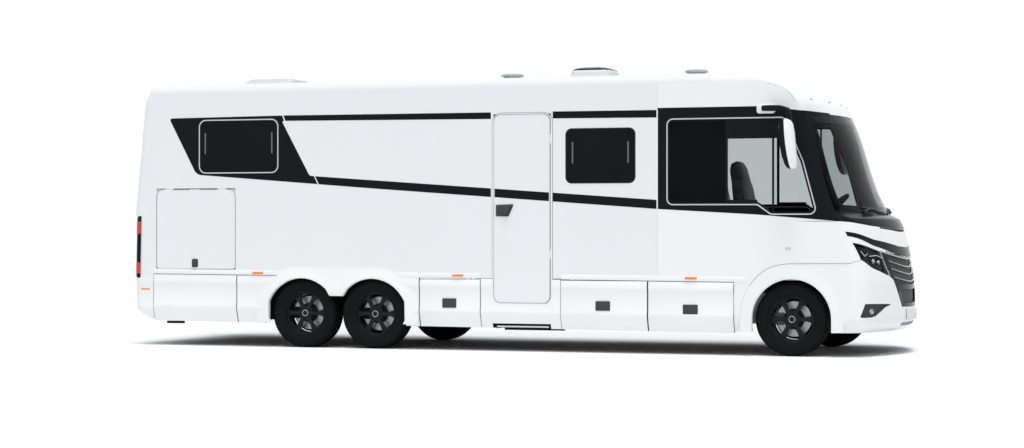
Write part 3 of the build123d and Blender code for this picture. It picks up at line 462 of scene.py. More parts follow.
class Shape:
    """The vertices and faces of one piece while it is being made."""

    def __init__(self):
        self.points = []
        self.faces = []

    def loft(self, rings, loop=False):
        """Skins closed rings of equal length, one after the other."""
        start, count, spans = len(self.points), len(rings[0]), len(rings) - (0 if loop else 1)
        for ring in rings:
            self.points.extend(tuple(point) for point in ring)
        for i in range(spans):
            low, high = start + i * count, start + (i + 1) % len(rings) * count
            for k in range(count):
                n = (k + 1) % count
                self.faces.append((low + k, low + n, high + n, high + k))
        if not loop:
            last = start + (len(rings) - 1) * count
            self.faces.append(tuple(reversed(range(start, start + count))))
            self.faces.append(tuple(range(last, last + count)))
        return self

    def side_plate(self, outline, side, inner, outer, ease=0.0):
        """A plate on a side wall from an outline in X and Z, between two distances from the middle plane."""
        rings = [
            [(x, side * inner, z) for x, z in outline], [(x, side * (outer - ease), z) for x, z in outline]
        ]
        if ease:
            rings.append([(x, side * outer, z) for x, z in grow(outline, -ease)])
        return self.loft(rings)

    def side_ring(self, outer_line, inner_line, side, inner, outer):
        """A flat frame on a side wall between two outlines with as many points."""
        rings = []
        for (x0, z0), (x1, z1) in zip(outer_line, inner_line):
            rings.append(
                [
                    (x0, side * inner, z0), (x0, side * outer, z0), (x1, side * outer, z1),
                    (x1, side * inner, z1)
                ]
            )
        return self.loft(rings, loop=True)

    def block(self, low, high):
        """A block between two corners."""
        (x0, y0, z0), (x1, y1, z1) = low, high
        return self.loft([[(x, y, z) for x, y in box_outline(x0, x1, y0, y1)] for z in (z0, z1)])

    def tube(self, path, radius, sides=8, loop=False, flat=1.0):
        """A round or flattened bar along a path."""
        path = [Vector(point) for point in path]
        rings, up = [], Vector((0, 0, 1))
        for i, here in enumerate(path):
            before = path[i - 1] if loop or i else here
            after = path[(i + 1) % len(path)] if loop or i < len(path) - 1 else here
            along = (after - before).normalized()
            if abs(along.dot(up)) > 0.98:
                up = Vector((1, 0, 0))
            across = along.cross(up).normalized()
            up = across.cross(along).normalized()
            size = radius[i] if isinstance(radius, (list, tuple)) else radius
            rings.append([
                here + across * (size * flat * math.cos(a)) + up * (size * math.sin(a))
                for a in turns(sides)
            ])
        return self.loft(rings, loop=loop)

    def turned(self, profile, middle, side, steps=72, closed=True):
        """A section of outward distance and radius, turned about a wheel's axis."""
        x, y, z = middle
        grid = [
            [(x + r * math.cos(a), y + side * u, z + r * math.sin(a)) for u, r in profile]
            for a in turns(steps)
        ]
        if closed:
            return self.loft(grid, loop=True)
        return self.loft([list(ring) for ring in zip(*grid)])

    def make(self, name, material, body="root", slot=None, crease=32, bevel=0.0, replaces=()):
        """The finished piece: outward normals, smooth shading up to the crease angle, body and slot."""
        mesh = bpy.data.meshes.new(name)
        mesh.from_pydata([tuple(point) for point in self.points], [], self.faces)
        return settle(mesh, name, material, body, crease, bevel, replaces)


def settle(mesh, name, material, body="root", crease=32, bevel=0.0, replaces=()):
    """Cleans a mesh and puts it in the scene as a piece on its body."""
    clean(mesh)
    piece = bpy.data.objects.new(name, mesh)
    bpy.context.scene.collection.objects.link(piece)
    if bevel:
        edge = piece.modifiers.new("bevel", "BEVEL")
        edge.width, edge.segments, edge.limit_method, edge.angle_limit = bevel, 2, "ANGLE", math.radians(40)
        bake(piece)
    mesh = piece.data
    mesh.shade_smooth()
    mesh.set_sharp_from_angle(angle=math.radians(crease))
    mesh.materials.clear()
    mesh.materials.append(material)
    for polygon in mesh.polygons:
        polygon.material_index = 0
    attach(piece, body)
    if replaces:
        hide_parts(*replaces)
    return piece


def clean(mesh):
    """Merges doubled points and turns all faces outward."""
    work = bmesh.new()
    work.from_mesh(mesh)
    bmesh.ops.remove_doubles(work, verts=work.verts, dist=1e-6)
    bmesh.ops.recalc_face_normals(work, faces=work.faces)
    work.to_mesh(mesh)
    work.free()


def bake(piece):
    """Replaces a piece's mesh by what its modifiers make of it, and removes them."""
    bpy.context.view_layer.update()
    graph = bpy.context.evaluated_depsgraph_get()
    mesh = bpy.data.meshes.new_from_object(
        piece.evaluated_get(graph), preserve_all_data_layers=True, depsgraph=graph
    )
    piece.modifiers.clear()
    piece.data = mesh


def loose(shape, name):
    """A shape as a plain object, to cut with."""
    mesh = bpy.data.meshes.new(name)
    mesh.from_pydata([tuple(point) for point in shape.points], [], shape.faces)
    clean(mesh)
    piece = bpy.data.objects.new(name, mesh)
    bpy.context.scene.collection.objects.link(piece)
    return piece


def carve(shape, name, *steps):
    """A mesh from a shape, cut in turn by (operation, shape) steps."""
    piece = loose(shape, name)
    for operation, tool in steps:
        cutter = loose(tool, name + "_tool")
        cut = piece.modifiers.new("cut", "BOOLEAN")
        cut.operation, cut.solver, cut.object = operation, "EXACT", cutter
        bake(piece)
        bpy.data.objects.remove(cutter)
    mesh = piece.data
    bpy.data.objects.remove(piece)
    if len(mesh.polygons) < 20:
        raise RuntimeError(f"cutting {name} left nothing")
    return mesh


# The curved nose

def table_slopes(heights, values):
    """Slopes that keep each column of a table monotone between its rows."""
    runs = np.diff(values, axis=0) / np.diff(heights)[:, None]
    slopes = np.zeros_like(values)
    product, total = runs[:-1] * runs[1:], runs[:-1] + runs[1:]
    slopes[1:-1] = np.where(product > 0, 2 * product / np.where(product > 0, total, 1), 0)
    slopes[0], slopes[-1] = runs[0], runs[-1]
    return slopes


LEVEL_Z, LEVEL_VALUES = LEVELS[:, 0], LEVELS[:, 1:]
LEVEL_SLOPES = table_slopes(LEVEL_Z, LEVEL_VALUES)


def level_at(z):
    """Setback, tuck, bow radius and corner radius at one height."""
    i = int(np.clip(np.searchsorted(LEVEL_Z, z) - 1, 0, len(LEVEL_Z) - 2))
    step = LEVEL_Z[i + 1] - LEVEL_Z[i]
    t = min(max((z - LEVEL_Z[i]) / step, 0), 1)
    return (
        (2 * t**3 - 3 * t**2 + 1) * LEVEL_VALUES[i] + (t**3 - 2 * t**2 + t) * step * LEVEL_SLOPES[i]
        + (3 * t**2 - 2 * t**3) * LEVEL_VALUES[i + 1] + (t**3 - t**2) * step * LEVEL_SLOPES[i + 1]
    )


def half_at(z):
    """Half the body's width at one height, with its shoulder and its crowned roof."""
    if z <= EAVES:
        return HALF
    if z <= EAVES + SHOULDER:
        return HALF - SHOULDER + math.sqrt(SHOULDER**2 - (z - EAVES) ** 2)
    rise, reach = CROWN - EAVES - SHOULDER, HALF - SHOULDER
    radius = (reach**2 + rise**2) / (2 * rise)
    return math.sqrt(max(radius**2 - (radius - (CROWN - z)) ** 2, 1e-4))


def section_at(z):
    """Half width, corner X, bow centre X, bow radius and corner radius of the nose at one height."""
    setback, tuck, bow, corner = level_at(z)
    half = half_at(z) - tuck
    corner = min(corner, half * 0.6)
    bow_x = X_NOSE - setback - bow
    corner_x = bow_x + math.sqrt((bow - corner) ** 2 - (half - corner) ** 2)
    return half, corner_x, bow_x, bow, corner


def nose_point(y, z, out=0.0):
    """The point of the nose's surface at one distance from the middle and one height, pushed out by out."""
    half, corner_x, bow_x, bow, corner = section_at(z)
    reach = bow * (half - corner) / (bow - corner)
    away = min(abs(y), half)
    if away <= reach:
        x = bow_x + math.sqrt(bow**2 - away**2)
    else:
        x = corner_x + math.sqrt(max(corner**2 - (away - half + corner) ** 2, 0))
    if not out:
        return Vector((x, y, z))
    step = 0.004
    base = nose_point(y, z)
    inward = nose_point(y - math.copysign(step, y or 1), z) - base
    upward = nose_point(y, z + step) - base
    normal = inward.cross(upward).normalized()
    return base + (normal if normal.x > 0 else -normal) * out


FRONT_COLUMNS, CORNER_COLUMNS, SIDE_COLUMNS = 14, 9, 9


def section_points(z, x_back):
    """Points of one level section, from the left side's back round the front to the right side's back."""
    half, corner_x, bow_x, bow, corner = section_at(z)
    turn = math.asin((half - corner) / (bow - corner))
    points = []
    for k in range(FRONT_COLUMNS):
        angle = turn * k / FRONT_COLUMNS
        points.append((bow_x + bow * math.cos(angle), bow * math.sin(angle)))
    for k in range(CORNER_COLUMNS):
        angle = turn + (math.pi / 2 - turn) * k / CORNER_COLUMNS
        points.append((corner_x + corner * math.cos(angle), half - corner + corner * math.sin(angle)))
    for k in range(SIDE_COLUMNS + 1):
        points.append((corner_x + (x_back - corner_x) * k / SIDE_COLUMNS, half))
    left = [(x, y, z) for x, y in reversed(points[1:])]
    return left + [(x, -y if y else 0, z) for x, y in points]


def nose_rows(low, top):
    """Heights of the level sections between two heights, closer together where the skin bends."""
    rows = list(np.arange(low, min(top, EAVES), 0.03))
    rows += [z for z in np.arange(1.31, 1.45, 0.01) if low < z < top]
    if top > EAVES:
        rows += [EAVES + SHOULDER * math.sin(math.pi / 2 * k / 7) for k in range(8)]
        reach, rise = HALF - SHOULDER, CROWN - EAVES - SHOULDER
        radius = (reach**2 + rise**2) / (2 * rise)
        for k in range(1, 12):
            away = reach * (1 - k / 11.3)
            rows.append(CROWN - radius + math.sqrt(radius**2 - away**2))
    else:
        rows.append(top)
    return sorted(set(round(float(z), 5) for z in rows))


def nose_skin(outer, inner, low, top, x_back):
    """A closed shell of the nose between two offsets from its surface, open at the back."""
    rows = nose_rows(low, top)
    grid = np.array([section_points(z, x_back) for z in rows])
    across = np.gradient(grid, axis=1)
    upward = np.gradient(grid, axis=0)
    normals = np.cross(across, upward)
    normals /= np.maximum(np.linalg.norm(normals, axis=2, keepdims=True), 1e-9)
    middle = grid.shape[1] // 2
    if normals[0, middle, 0] < 0:
        normals = -normals
    shape = Shape()
    count, high = grid.shape[1], len(rows)
    for offset in (outer, inner):
        shape.points.extend(map(tuple, (grid + normals * offset).reshape(-1, 3)))
    second = count * high
    for i in range(high - 1):
        for k in range(count - 1):
            a = i * count + k
            shape.faces.append((a, a + 1, a + count + 1, a + count))
            shape.faces.append((second + a, second + a + count, second + a + count + 1, second + a + 1))
    for i in range(high - 1):
        for k in (0, count - 1):
            a, b = i * count + k, (i + 1) * count + k
            shape.faces.append((a, b, second + b, second + a))
    for k in range(count - 1):
        shape.faces.append((k, k + 1, second + k + 1, second + k))
    last = (high - 1) * count
    if top <= EAVES:
        for k in range(count - 1):
            shape.faces.append((last + k, last + k + 1, second + last + k + 1, second + last + k))
        return shape
    for base in (last, second + last):
        for k in range(middle):
            ring = [base + k, base + k + 1, base + count - 2 - k, base + count - 1 - k]
            shape.faces.append(tuple(dict.fromkeys(ring)))
    shape.faces.append((last, last + count - 1, second + last + count - 1, second + last))
    return shape


def front_prism(points):
    """What lies inside an outline of Y and Z seen from the front."""
    return Shape().loft([[(x, y, z) for y, z in points] for x in (X_FRONT + 0.1, X_NOSE + 0.3)])


def side_prism(points, y_low, y_high):
    """What lies inside an outline of X and Z, between two places along Y."""
    return Shape().loft([[(x, y, z) for x, z in points] for y in (y_low, y_high)])


def between(lower, upper):
    """A mirrored outline from its lower and its upper edge, each from the middle out."""
    right = [(-y, z) for y, z in lower] + [(-y, z) for y, z in reversed(upper)]
    left = [(y, z) for y, z in upper[1:]] + [(y, z) for y, z in reversed(lower[1:])]
    return right + left


def raised(points, rise):
    return [(y, z + rise) for y, z in points]


SCREEN = between(SCREEN_LOW, SCREEN_TOP)
COWL = between(COWL_LOW, SCREEN_LOW)
BONNET_OPENING = between(BONNET_LOW, BONNET_TOP)
BONNET_EDGE = between(
    [(0, 0.960 + PANEL_GAP), (0.650 - PANEL_GAP, 1.026 + PANEL_GAP)],
    [(0, 1.233 - HINGE_GAP), (0.150, 1.233 - HINGE_GAP), (0.650 - PANEL_GAP, 1.266 - HINGE_GAP)],
)
GRILLE = between(GRILLE_LOW, raised(BONNET_LOW, -PANEL_GAP))
ACCENT = between(ACCENT_LOW, ACCENT_TOP)
X_CAP = X_FRONT - 0.810


def arch_outline(x, z, radius):
    """The outline of a wheel opening: an arc whose ends run straight down."""
    top = [
        (x + radius * math.cos(a), z + radius * math.sin(a))
        for a in (math.pi * k / 48 for k in range(49))
    ]
    return [(x + radius, -0.1), *top, (x - radius, -0.1)]


def build_cab():
    """Cab sides, roof cap and front in one smooth skin, and the bonnet with a gap round it."""
    white = moulding()
    window = rounded(from_axle(CAB_WINDOW), 0.045)
    low_rear = Shape().block((X_CAB - 0.2, -2, 0), (X_FENDER, 2, WALL_LOW))
    visor = Shape().block((X_CAB - 0.2, -2, 2.700), (X_CAP + 0.002, 2, CROWN + 0.2))
    steps = [("DIFFERENCE", tool) for tool in (low_rear, visor)]
    steps += [("DIFFERENCE", front_prism(line)) for line in (SCREEN, COWL, BONNET_OPENING, GRILLE)]
    arch = arch_outline(X_FRONT + FRONT_ARCH_X, TYRE_R, FRONT_ARCH_R)
    for side in (RIGHT, LEFT):
        steps += [
            ("DIFFERENCE", side_prism(grow(window, 0.001), side * (HALF - 0.1), side * (HALF + 0.1))),
            ("DIFFERENCE", side_prism(arch, side * 0.9, side * (HALF + 0.1))),
            ("DIFFERENCE", front_prism([(side * y, z) for y, z in LAMP_OUTLINE])),
            ("DIFFERENCE", front_prism(rounded([(side * y, z) for y, z in FOG_OUTLINE], 0.012, 4))),
        ]
    mesh = carve(nose_skin(0, -0.014, 0.236, CROWN, X_CAB + 0.001), "cab_skin", *steps)
    settle(mesh, "cab_skin", white,
           replaces=("cab_side_right", "cab_side_left", "front_cap", "front_panel"))
    mesh = carve(
        nose_skin(0, -0.012, 0.900, 1.320, X_FRONT + 0.3), "bonnet_skin",
        ("INTERSECT", front_prism(BONNET_EDGE))
    )
    settle(mesh, "bonnet_skin", white, "bonnet", replaces=("bonnet",))


def build_cab_glass():
    """Windscreen with its dark border, cowl, cab side bands, side windows and the lining behind them."""
    band, pane = band_vinyl(), clear_pane("screen_glass", (0.44, 0.47, 0.48))
    black = gloss_black()
    inset_screen = grow(SCREEN, -0.003)
    mesh = carve(
        nose_skin(-0.001, -0.007, 1.300, 2.480, X_FRONT - 0.3), "screen",
        ("INTERSECT", front_prism(inset_screen))
    )
    settle(mesh, "windscreen_pane", pane, replaces=("windscreen",))
    clear = rounded(
        between(raised([(0, 1.400), (0.600, 1.408), (1.010, 1.424)], 0.060), [(0, 2.300), (0.985, 2.300)]),
        0.05
    )
    mesh = carve(
        nose_skin(-0.0075, -0.010, 1.300, 2.480, X_FRONT - 0.3), "border",
        ("INTERSECT", front_prism(inset_screen)), ("DIFFERENCE", front_prism(clear)),
    )
    settle(mesh, "windscreen_border", black)
    mesh = carve(
        nose_skin(0, -0.014, 1.100, 1.480, X_FRONT), "cowl", ("INTERSECT", front_prism(grow(COWL, -0.001)))
    )
    settle(mesh, "cowl_skin", black, replaces=("cowl_panel",))
    proud = trim_settings().band_proud
    window = from_axle(CAB_WINDOW)
    open_line = rounded(grow(window, -0.001), 0.045)
    for name, side in SIDES.items():
        inner, outer = sorted((side * 0.6, side * (HALF + 0.1)))
        mesh = carve(
            nose_skin(proud, -0.003, 1.250, 2.520, X_CAB), "cab_band",
            (
                "INTERSECT",
                side_prism(rounded(from_axle(CAB_BAND), [0, 0, 0, 0, 0, 0, 0, 0.02, 0.05]), inner, outer)
            ),
            ("DIFFERENCE", side_prism(open_line, side * (HALF - 0.1), side * (HALF + 0.1))),
            ("DIFFERENCE", front_prism(SCREEN)), ("DIFFERENCE", front_prism(COWL)),
        )
        settle(mesh, f"cab_band_{name}", band)
        frame_out = rounded(grow(window, 0.005), 0.065)
        frame_in = rounded(grow(window, -0.007), 0.053)
        rim = Shape().side_ring(frame_out, frame_in, side, HALF - 0.006, HALF + 0.003)
        rim.make(f"cab_window_frame_{name}", frame_silver(), slot="alloy_black", bevel=0.001)
        surround_in = rounded(grow(window, -0.026), 0.030)
        surround = Shape().side_ring(
            rounded(grow(window, -0.001), 0.045), surround_in, side, HALF - 0.012, HALF - 0.001
        )
        mullion_x, rear_x = X_FRONT - 0.167, X_FRONT - 0.636
        for x, wide, low in ((mullion_x, 0.010, 1.394), (rear_x, 0.014, 1.489)):
            surround.side_plate(box_outline(x - wide, x + wide, low, 2.330), side, HALF - 0.012, HALF - 0.002)
        surround.side_plate(
            box_outline(rear_x, X_FRONT - 0.326, 1.489, 1.535), side, HALF - 0.011, HALF - 0.0025
        )
        if side == RIGHT:
            surround.side_plate(
                box_outline(rear_x, X_FRONT + 0.030, 2.136, 2.330), side, HALF - 0.011, HALF - 0.0025
            )
        surround.make(f"cab_window_surround_{name}", black, slot="black_trim")
        glass_line = rounded(grow(window, -0.004), 0.042)
        pane_shape = Shape().side_plate(glass_line, side, HALF - 0.009, HALF - 0.004)
        rear_line = rounded(box_outline(window[1][0] + 0.004, rear_x, 1.492, 2.336), [0.042, 0, 0, 0.042])
        pane_shape.make(
            f"cab_window_pane_{name}", clear_pane("cab_glass", (0.68, 0.71, 0.72)), slot="clear_glass"
        )
    Shape().side_plate(rear_line, RIGHT, HALF - 0.016, HALF - 0.0095).make(
        "cab_window_rear_pane", pane_dark(), slot="dark_glass"
    )
    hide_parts("cab_windows")
    lining_window = rounded(grow(window, 0.004), 0.049)
    mesh = carve(
        nose_skin(-0.018, -0.022, 1.200, 2.690, X_CAB), "lining",
        ("DIFFERENCE", front_prism(grow(SCREEN, -0.02))),
        ("DIFFERENCE", side_prism(lining_window, -HALF - 0.1, HALF + 0.1)),
    )
    settle(mesh, "cab_lining", cabin_trim())


def surface_bar(shape, line, height, depth, out=0.0):
    """A slim bar laid on the nose along (y, z) points: its height and how far it stands in from out."""
    rings = []
    for y, z in line:
        low, high = z - height / 2, z + height / 2
        rings.append([
            nose_point(y, low, out - depth), nose_point(y, low, out - depth * 0.25), nose_point(y, z, out),
            nose_point(y, high, out - depth * 0.25), nose_point(y, high, out - depth),
        ])
    shape.loft(rings)


def bowed(reach, z_middle, z_end, steps=24):
    """Points across the nose from side to side, rising from the middle to the ends."""
    points = []
    for k in range(-steps, steps + 1):
        y = reach * k / steps
        points.append((y, z_middle + (z_end - z_middle) * (abs(y) / reach) ** 1.6))
    return points


def build_grille():
    """Grille with bright slats, the dark accent above it, the intake below and the blank plate."""
    black = gloss_black()
    satin = finish("satin_metal", (0.40, 0.41, 0.42), (0.22, 0.3), 0.8, 20.0, Metallic=1.0)
    mesh = carve(
        nose_skin(-0.026, -0.034, 0.420, 1.080, X_FRONT + 0.3), "grille_back",
        ("INTERSECT", front_prism(GRILLE))
    )
    settle(mesh, "grille_back", black_plastic(), replaces=("grille",))
    frame_line = rounded(grow(GRILLE, -0.002), 0.01, 3)
    low_part = between([(0, 0.470), (0.392, 0.479), (0.560, 0.700)], [(0, 0.690), (0.552, 0.710)])
    hollow = rounded(
        between([(0, 0.505), (0.340, 0.512), (0.420, 0.640)], [(0, 0.640), (0.420, 0.648)]), 0.02, 4
    )
    mesh = carve(nose_skin(-0.006, -0.026, 0.420, 1.080, X_FRONT + 0.3), "grille_low",
                 ("INTERSECT", front_prism(low_part)), ("DIFFERENCE", front_prism(hollow)))
    settle(mesh, "grille_lower_frame", black, bevel=0.002)
    ring_in = grow(GRILLE, -0.020)
    mesh = carve(nose_skin(-0.002, -0.026, 0.420, 1.080, X_FRONT + 0.3), "grille_ring",
                 ("INTERSECT", front_prism(frame_line)), ("DIFFERENCE", front_prism(ring_in)))
    settle(mesh, "grille_frame", black)
    slats = Shape()
    for reach, z_middle, z_end, height in (
        (0.610, 0.868, 0.935, 0.012), (0.585, 0.795, 0.860, 0.011), (0.560, 0.722, 0.775, 0.011)
    ):
        surface_bar(slats, bowed(reach, z_middle, z_end), height, 0.020, 0.001)
    slats.make("grille_slats", satin, slot="alloy_black", crease=60)
    top = Shape()
    surface_bar(top, bowed(0.770, 0.948, 1.030), 0.015, 0.014, 0.004)
    top.make("grille_top_strip", satin, slot="alloy_black", crease=60)
    for name, body, steps in (
        ("accent_bonnet", "bonnet", [("INTERSECT", front_prism(BONNET_EDGE))]),
        ("accent_front", "root", [("DIFFERENCE", front_prism(grow(BONNET_OPENING, 0.0)))]),
    ):
        mesh = carve(
            nose_skin(0.0012, -0.003, 0.930, 1.260, X_FRONT + 0.3), name, ("INTERSECT", front_prism(ACCENT)),
            *steps
        )
        settle(mesh, name, black, body)
    for name, side in SIDES.items():
        web = [(side * y, z) for y, z in ((0.590, 0.745), (0.648, 1.020), (0.748, 1.024), (0.634, 0.768))]
        mesh = carve(nose_skin(0.0012, -0.003, 0.700, 1.100, X_FRONT + 0.3), "web",
                     ("INTERSECT", front_prism(web)), ("DIFFERENCE", front_prism(BONNET_OPENING)))
        settle(mesh, f"grille_web_{name}", black)
    plate = Shape()
    line = rounded(box_outline(-0.260, 0.260, 0.336, 0.450), 0.008, 3)
    x = max(nose_point(0, z).x for z in (0.336, 0.450))
    plate.loft([[(x + d, y, z) for y, z in line] for d in (-0.006, 0.004)])
    plate.make(
        "front_plate_blank", finish("plate_white", (0.82, 0.82, 0.80), (0.4, 0.5), 0.95, 20),
        slot="white_moulding", bevel=0.0008
    )
    lip = Shape()
    surface_bar(lip, [(0.33 * k / 12, 0.300) for k in range(-12, 13)], 0.030, 0.012, 0.006)
    lip.make(
        "front_lip", finish("lip_grey", (0.20, 0.205, 0.21), (0.5, 0.6), 1.2, 20, grain=0.2, grain_scale=500),
        slot="black_plastic", crease=50
    )


def build_lamps():
    """Headlamps, fog lamps and tail lamps with their lenses and bowls."""
    black = gloss_black()
    clear = clear_pane("lamp_glass", (0.95, 0.96, 0.97))
    for name, side in SIDES.items():
        lamp = [(side * y, z) for y, z in LAMP_OUTLINE]
        mesh = carve(
            nose_skin(-0.034, -0.042, 0.700, 1.200, X_FRONT + 0.3), "lamp_back",
            ("INTERSECT", front_prism(lamp))
        )
        settle(mesh, f"headlamp_housing_{name}", black)
        mesh = carve(
            nose_skin(-0.001, -0.004, 0.700, 1.200, X_FRONT + 0.3), "lamp_lens",
            ("INTERSECT", front_prism(grow(lamp, -0.003)))
        )
        settle(mesh, f"headlamp_lens_{name}", clear)
        bowls = Shape()
        for y, z, radius in ((0.790, 0.925, 0.022), (0.880, 0.935, 0.025)):
            middle = nose_point(side * y, z, -0.033)
            profile = [
                (0, radius), (0.018, radius * 0.95), (0.020, radius * 0.75), (0.012, radius * 0.45),
                (0.016, 0.001)
            ]
            rings = []
            for u, r in profile:
                rings.append([(middle.x + u, middle.y + r * math.cos(a), middle.z + r * math.sin(a))
                              for a in turns(28)])
            bowls.loft(rings)
        bowls.make(f"headlamp_bowls_{name}", disc_steel(), slot="lamp_clear", crease=50)
        strip = Shape()
        for line in (
            ((0.955, 1.010), (1.000, 0.985), (1.050, 1.035)), ((0.700, 0.960), (0.790, 0.990), (0.930, 0.985))
        ):
            strip.tube([nose_point(side * y, z, -0.022) for y, z in line], 0.0032, 8)
        strip.make(f"headlamp_strips_{name}", lens("lamp_white", (0.75, 0.77, 0.78), 0.15), slot="lamp_clear")
        fog = rounded([(side * y, z) for y, z in FOG_OUTLINE], 0.012, 4)
        mesh = carve(
            nose_skin(-0.030, -0.040, 0.330, 0.600, X_FRONT + 0.56), "fog_back",
            ("INTERSECT", front_prism(fog))
        )
        settle(mesh, f"fog_recess_{name}", black_plastic())
        spot = Shape()
        middle = nose_point(side * 0.985, 0.445, -0.029)
        normal = (nose_point(side * 1.000, 0.435, 0.01) - nose_point(side * 1.000, 0.435, 0)).normalized()
        turn = normal.to_track_quat("Z", "Y").to_matrix()
        rings = []
        for u, r in ((0, 0.030), (0.012, 0.030), (0.015, 0.027), (0.008, 0.021), (0.013, 0.001)):
            rings.append([middle + turn @ Vector((r * math.cos(a), r * math.sin(a), u)) for a in turns(28)])
        spot.loft(rings)
        spot.make(f"fog_lamp_{name}", disc_steel(), slot="lamp_clear", crease=50)
    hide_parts("headlamps")
    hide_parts("fog_lamps")
    red = lens("lamp_red", (0.20, 0.004, 0.008), 0.02)
    for name, side in SIDES.items():
        low, top, front = 0.722, 1.385, X_TAIL + 0.095

        def corner_ring(z, out, inboard):
            radius = 0.075 + out
            tail = X_TAIL + 0.026 + 0.02 * (z - 0.7)
            points = [(tail - out, inboard), (tail - out, HALF - 0.075)]
            points += [
                (tail + 0.075 - radius * math.cos(a), HALF - 0.075 + radius * math.sin(a))
                for a in (math.pi / 2 * k / 8 for k in range(9))
            ]
            points += [(front, HALF + out), (front, HALF - 0.030), (tail + 0.06, inboard)]
            return [(x, side * y, z) for x, y in points]

        housing = Shape().loft(
            [
                corner_ring(z, out, 1.010)
                for z, out in ((low, 0.0), (low + 0.02, 0.008), (top - 0.03, 0.008), (top, 0.0))
            ]
        )
        housing.make(f"tail_lamp_housing_{name}", black, slot="black_trim", bevel=0.003)
        lenses = Shape()
        for z0, z1 in ((0.765, 0.890), (1.190, 1.330)):
            lenses.loft(
                [
                    corner_ring(z, out, 1.030)
                    for z, out in ((z0, 0.006), (z0 + 0.01, 0.011), (z1 - 0.01, 0.011), (z1, 0.006))
                ]
            )
        lenses.make(f"tail_lamp_lenses_{name}", red, slot="lamp_red", bevel=0.002)
    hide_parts("tail_lamps")


# Side of the living body

def split_line(points, x):
    """Where a closed outline crosses one X: lowest and highest Z."""
    hits = []
    for (x0, z0), (x1, z1) in zip(points, points[1:] + points[:1]):
        if (x0 - x) * (x1 - x) <= 0 and x0 != x1:
            hits.append(z0 + (z1 - z0) * (x - x0) / (x1 - x0))
    return min(hits), max(hits)


def band_piece(shape, outline, side, radius=0.0):
    shape.side_plate(
        rounded(outline, radius) if radius else outline, side, HALF - 0.001, HALF + trim_settings().band_proud
    )


def build_bands():
    """Dark bands along both sides, broken at the door's frame on the right."""
    vinyl = band_vinyl()
    wedge, upper, lower = (from_axle(line) for line in (WEDGE, UPPER_BAND, LOWER_BAND))
    x0, x1 = X_DOOR - 0.034, X_DOOR + DOOR_WIDTH + 0.034
    for name, side in SIDES.items():
        bands = Shape()
        band_piece(bands, wedge, side, [0.02, 0.10, 0, 0, 0.04, 0.01, 0, 0])
        if side == LEFT:
            band_piece(bands, upper, side)
            band_piece(bands, lower, side)
        else:
            for line in (upper, lower):
                low0, high0 = split_line(line, x0)
                low1, high1 = split_line(line, x1)
                behind = [point for point in line if point[0] < x0]
                ahead = [point for point in line if point[0] > x1]
                if line is upper:
                    band_piece(bands, [behind[1], (x0, low0), (x0, high0), behind[0]], side)
                    band_piece(bands, [(x1, low1), ahead[0], ahead[1], (x1, high1)], side)
                else:
                    band_piece(bands, [behind[0], behind[1], (x0, high0), (x0, low0), behind[2]], side)
                    band_piece(bands, [(x1, high1), ahead[0], ahead[1], (x1, low1)], side)
        bands.make(f"side_bands_{name}", vinyl, slot="black_trim")
    low0, high0 = split_line(lower, X_DOOR + 0.006)
    low1, high1 = split_line(lower, X_DOOR + DOOR_WIDTH - 0.006)
    stripe = Shape()
    band_piece(stripe, [(X_DOOR + 0.006, low0), (X_DOOR + DOOR_WIDTH - 0.006, low1),
                        (X_DOOR + DOOR_WIDTH - 0.006, high1), (X_DOOR + 0.006, high0)], RIGHT)
    stripe.make("door_band", vinyl, "entrance_door", "black_trim")
    for name, side in SIDES.items():
        line = Shape().side_plate(
            box_outline(X_CAB - 0.004, X_CAB + 0.004, 1.446, 2.432), side, HALF - 0.001, HALF + 0.0018
        )
        line.make(f"cab_joint_strip_{name}", moulding(), slot="white_moulding")


def build_windows():
    """Living windows with their seals, bright frames and blinds' handles."""
    pane, silver, seal = pane_dark(), frame_silver(), black_plastic()
    x_rear, x_mid = X_TAIL + 0.809, X_FRONT - 1.572 - 0.724
    places = [(RIGHT, x_rear, 0.921, 1.843, 0.562, True), (RIGHT, x_mid, 0.724, 1.711, 0.545, False),
              (LEFT, x_rear, 0.921, 1.843, 0.562, True), (LEFT, x_mid, 0.724, 1.711, 0.545, False),
              (LEFT, X_DOOR - 0.100, 0.724, 1.711, 0.545, False)]
    panes, rims, seals, grips = Shape(), Shape(), Shape(), Shape()
    for side, x, long, low, high, framed in places:
        line = box_outline(x, x + long, low, low + high)
        panes.side_plate(rounded(line, 0.060, 8), side, HALF - 0.027, HALF + 0.004, 0.0015)
        seals.side_ring(
            rounded(grow(line, 0.006), 0.066, 8), rounded(grow(line, -0.001), 0.059, 8), side, HALF - 0.001,
            HALF + 0.0025
        )
        if framed:
            wide = trim_settings().frame_width
            rims.side_ring(
                rounded(grow(line, wide / 2), 0.082, 8), rounded(grow(line, -wide / 2), 0.070, 8), side,
                HALF - 0.001, HALF + 0.006
            )
        for x_grip in (x + 0.070, x + long - 0.070):
            grips.side_plate(
                rounded(
                    box_outline(x_grip - 0.007, x_grip + 0.007, low + high * 0.36, low + high * 0.76), 0.006,
                    3
                ),
                side, HALF + 0.0035, HALF + 0.0046
            )
    panes.make("living_panes", pane, slot="dark_glass", replaces=("living_windows",))
    seals.make("living_window_seals", seal, slot="black_plastic")
    rims.make("living_window_frames", silver, slot="alloy_black", bevel=0.001)
    grips.make(
        "blind_handles", finish("blind_grey", (0.12, 0.125, 0.125), (0.5, 0.6), 1.2, 20), slot="black_plastic"
    )


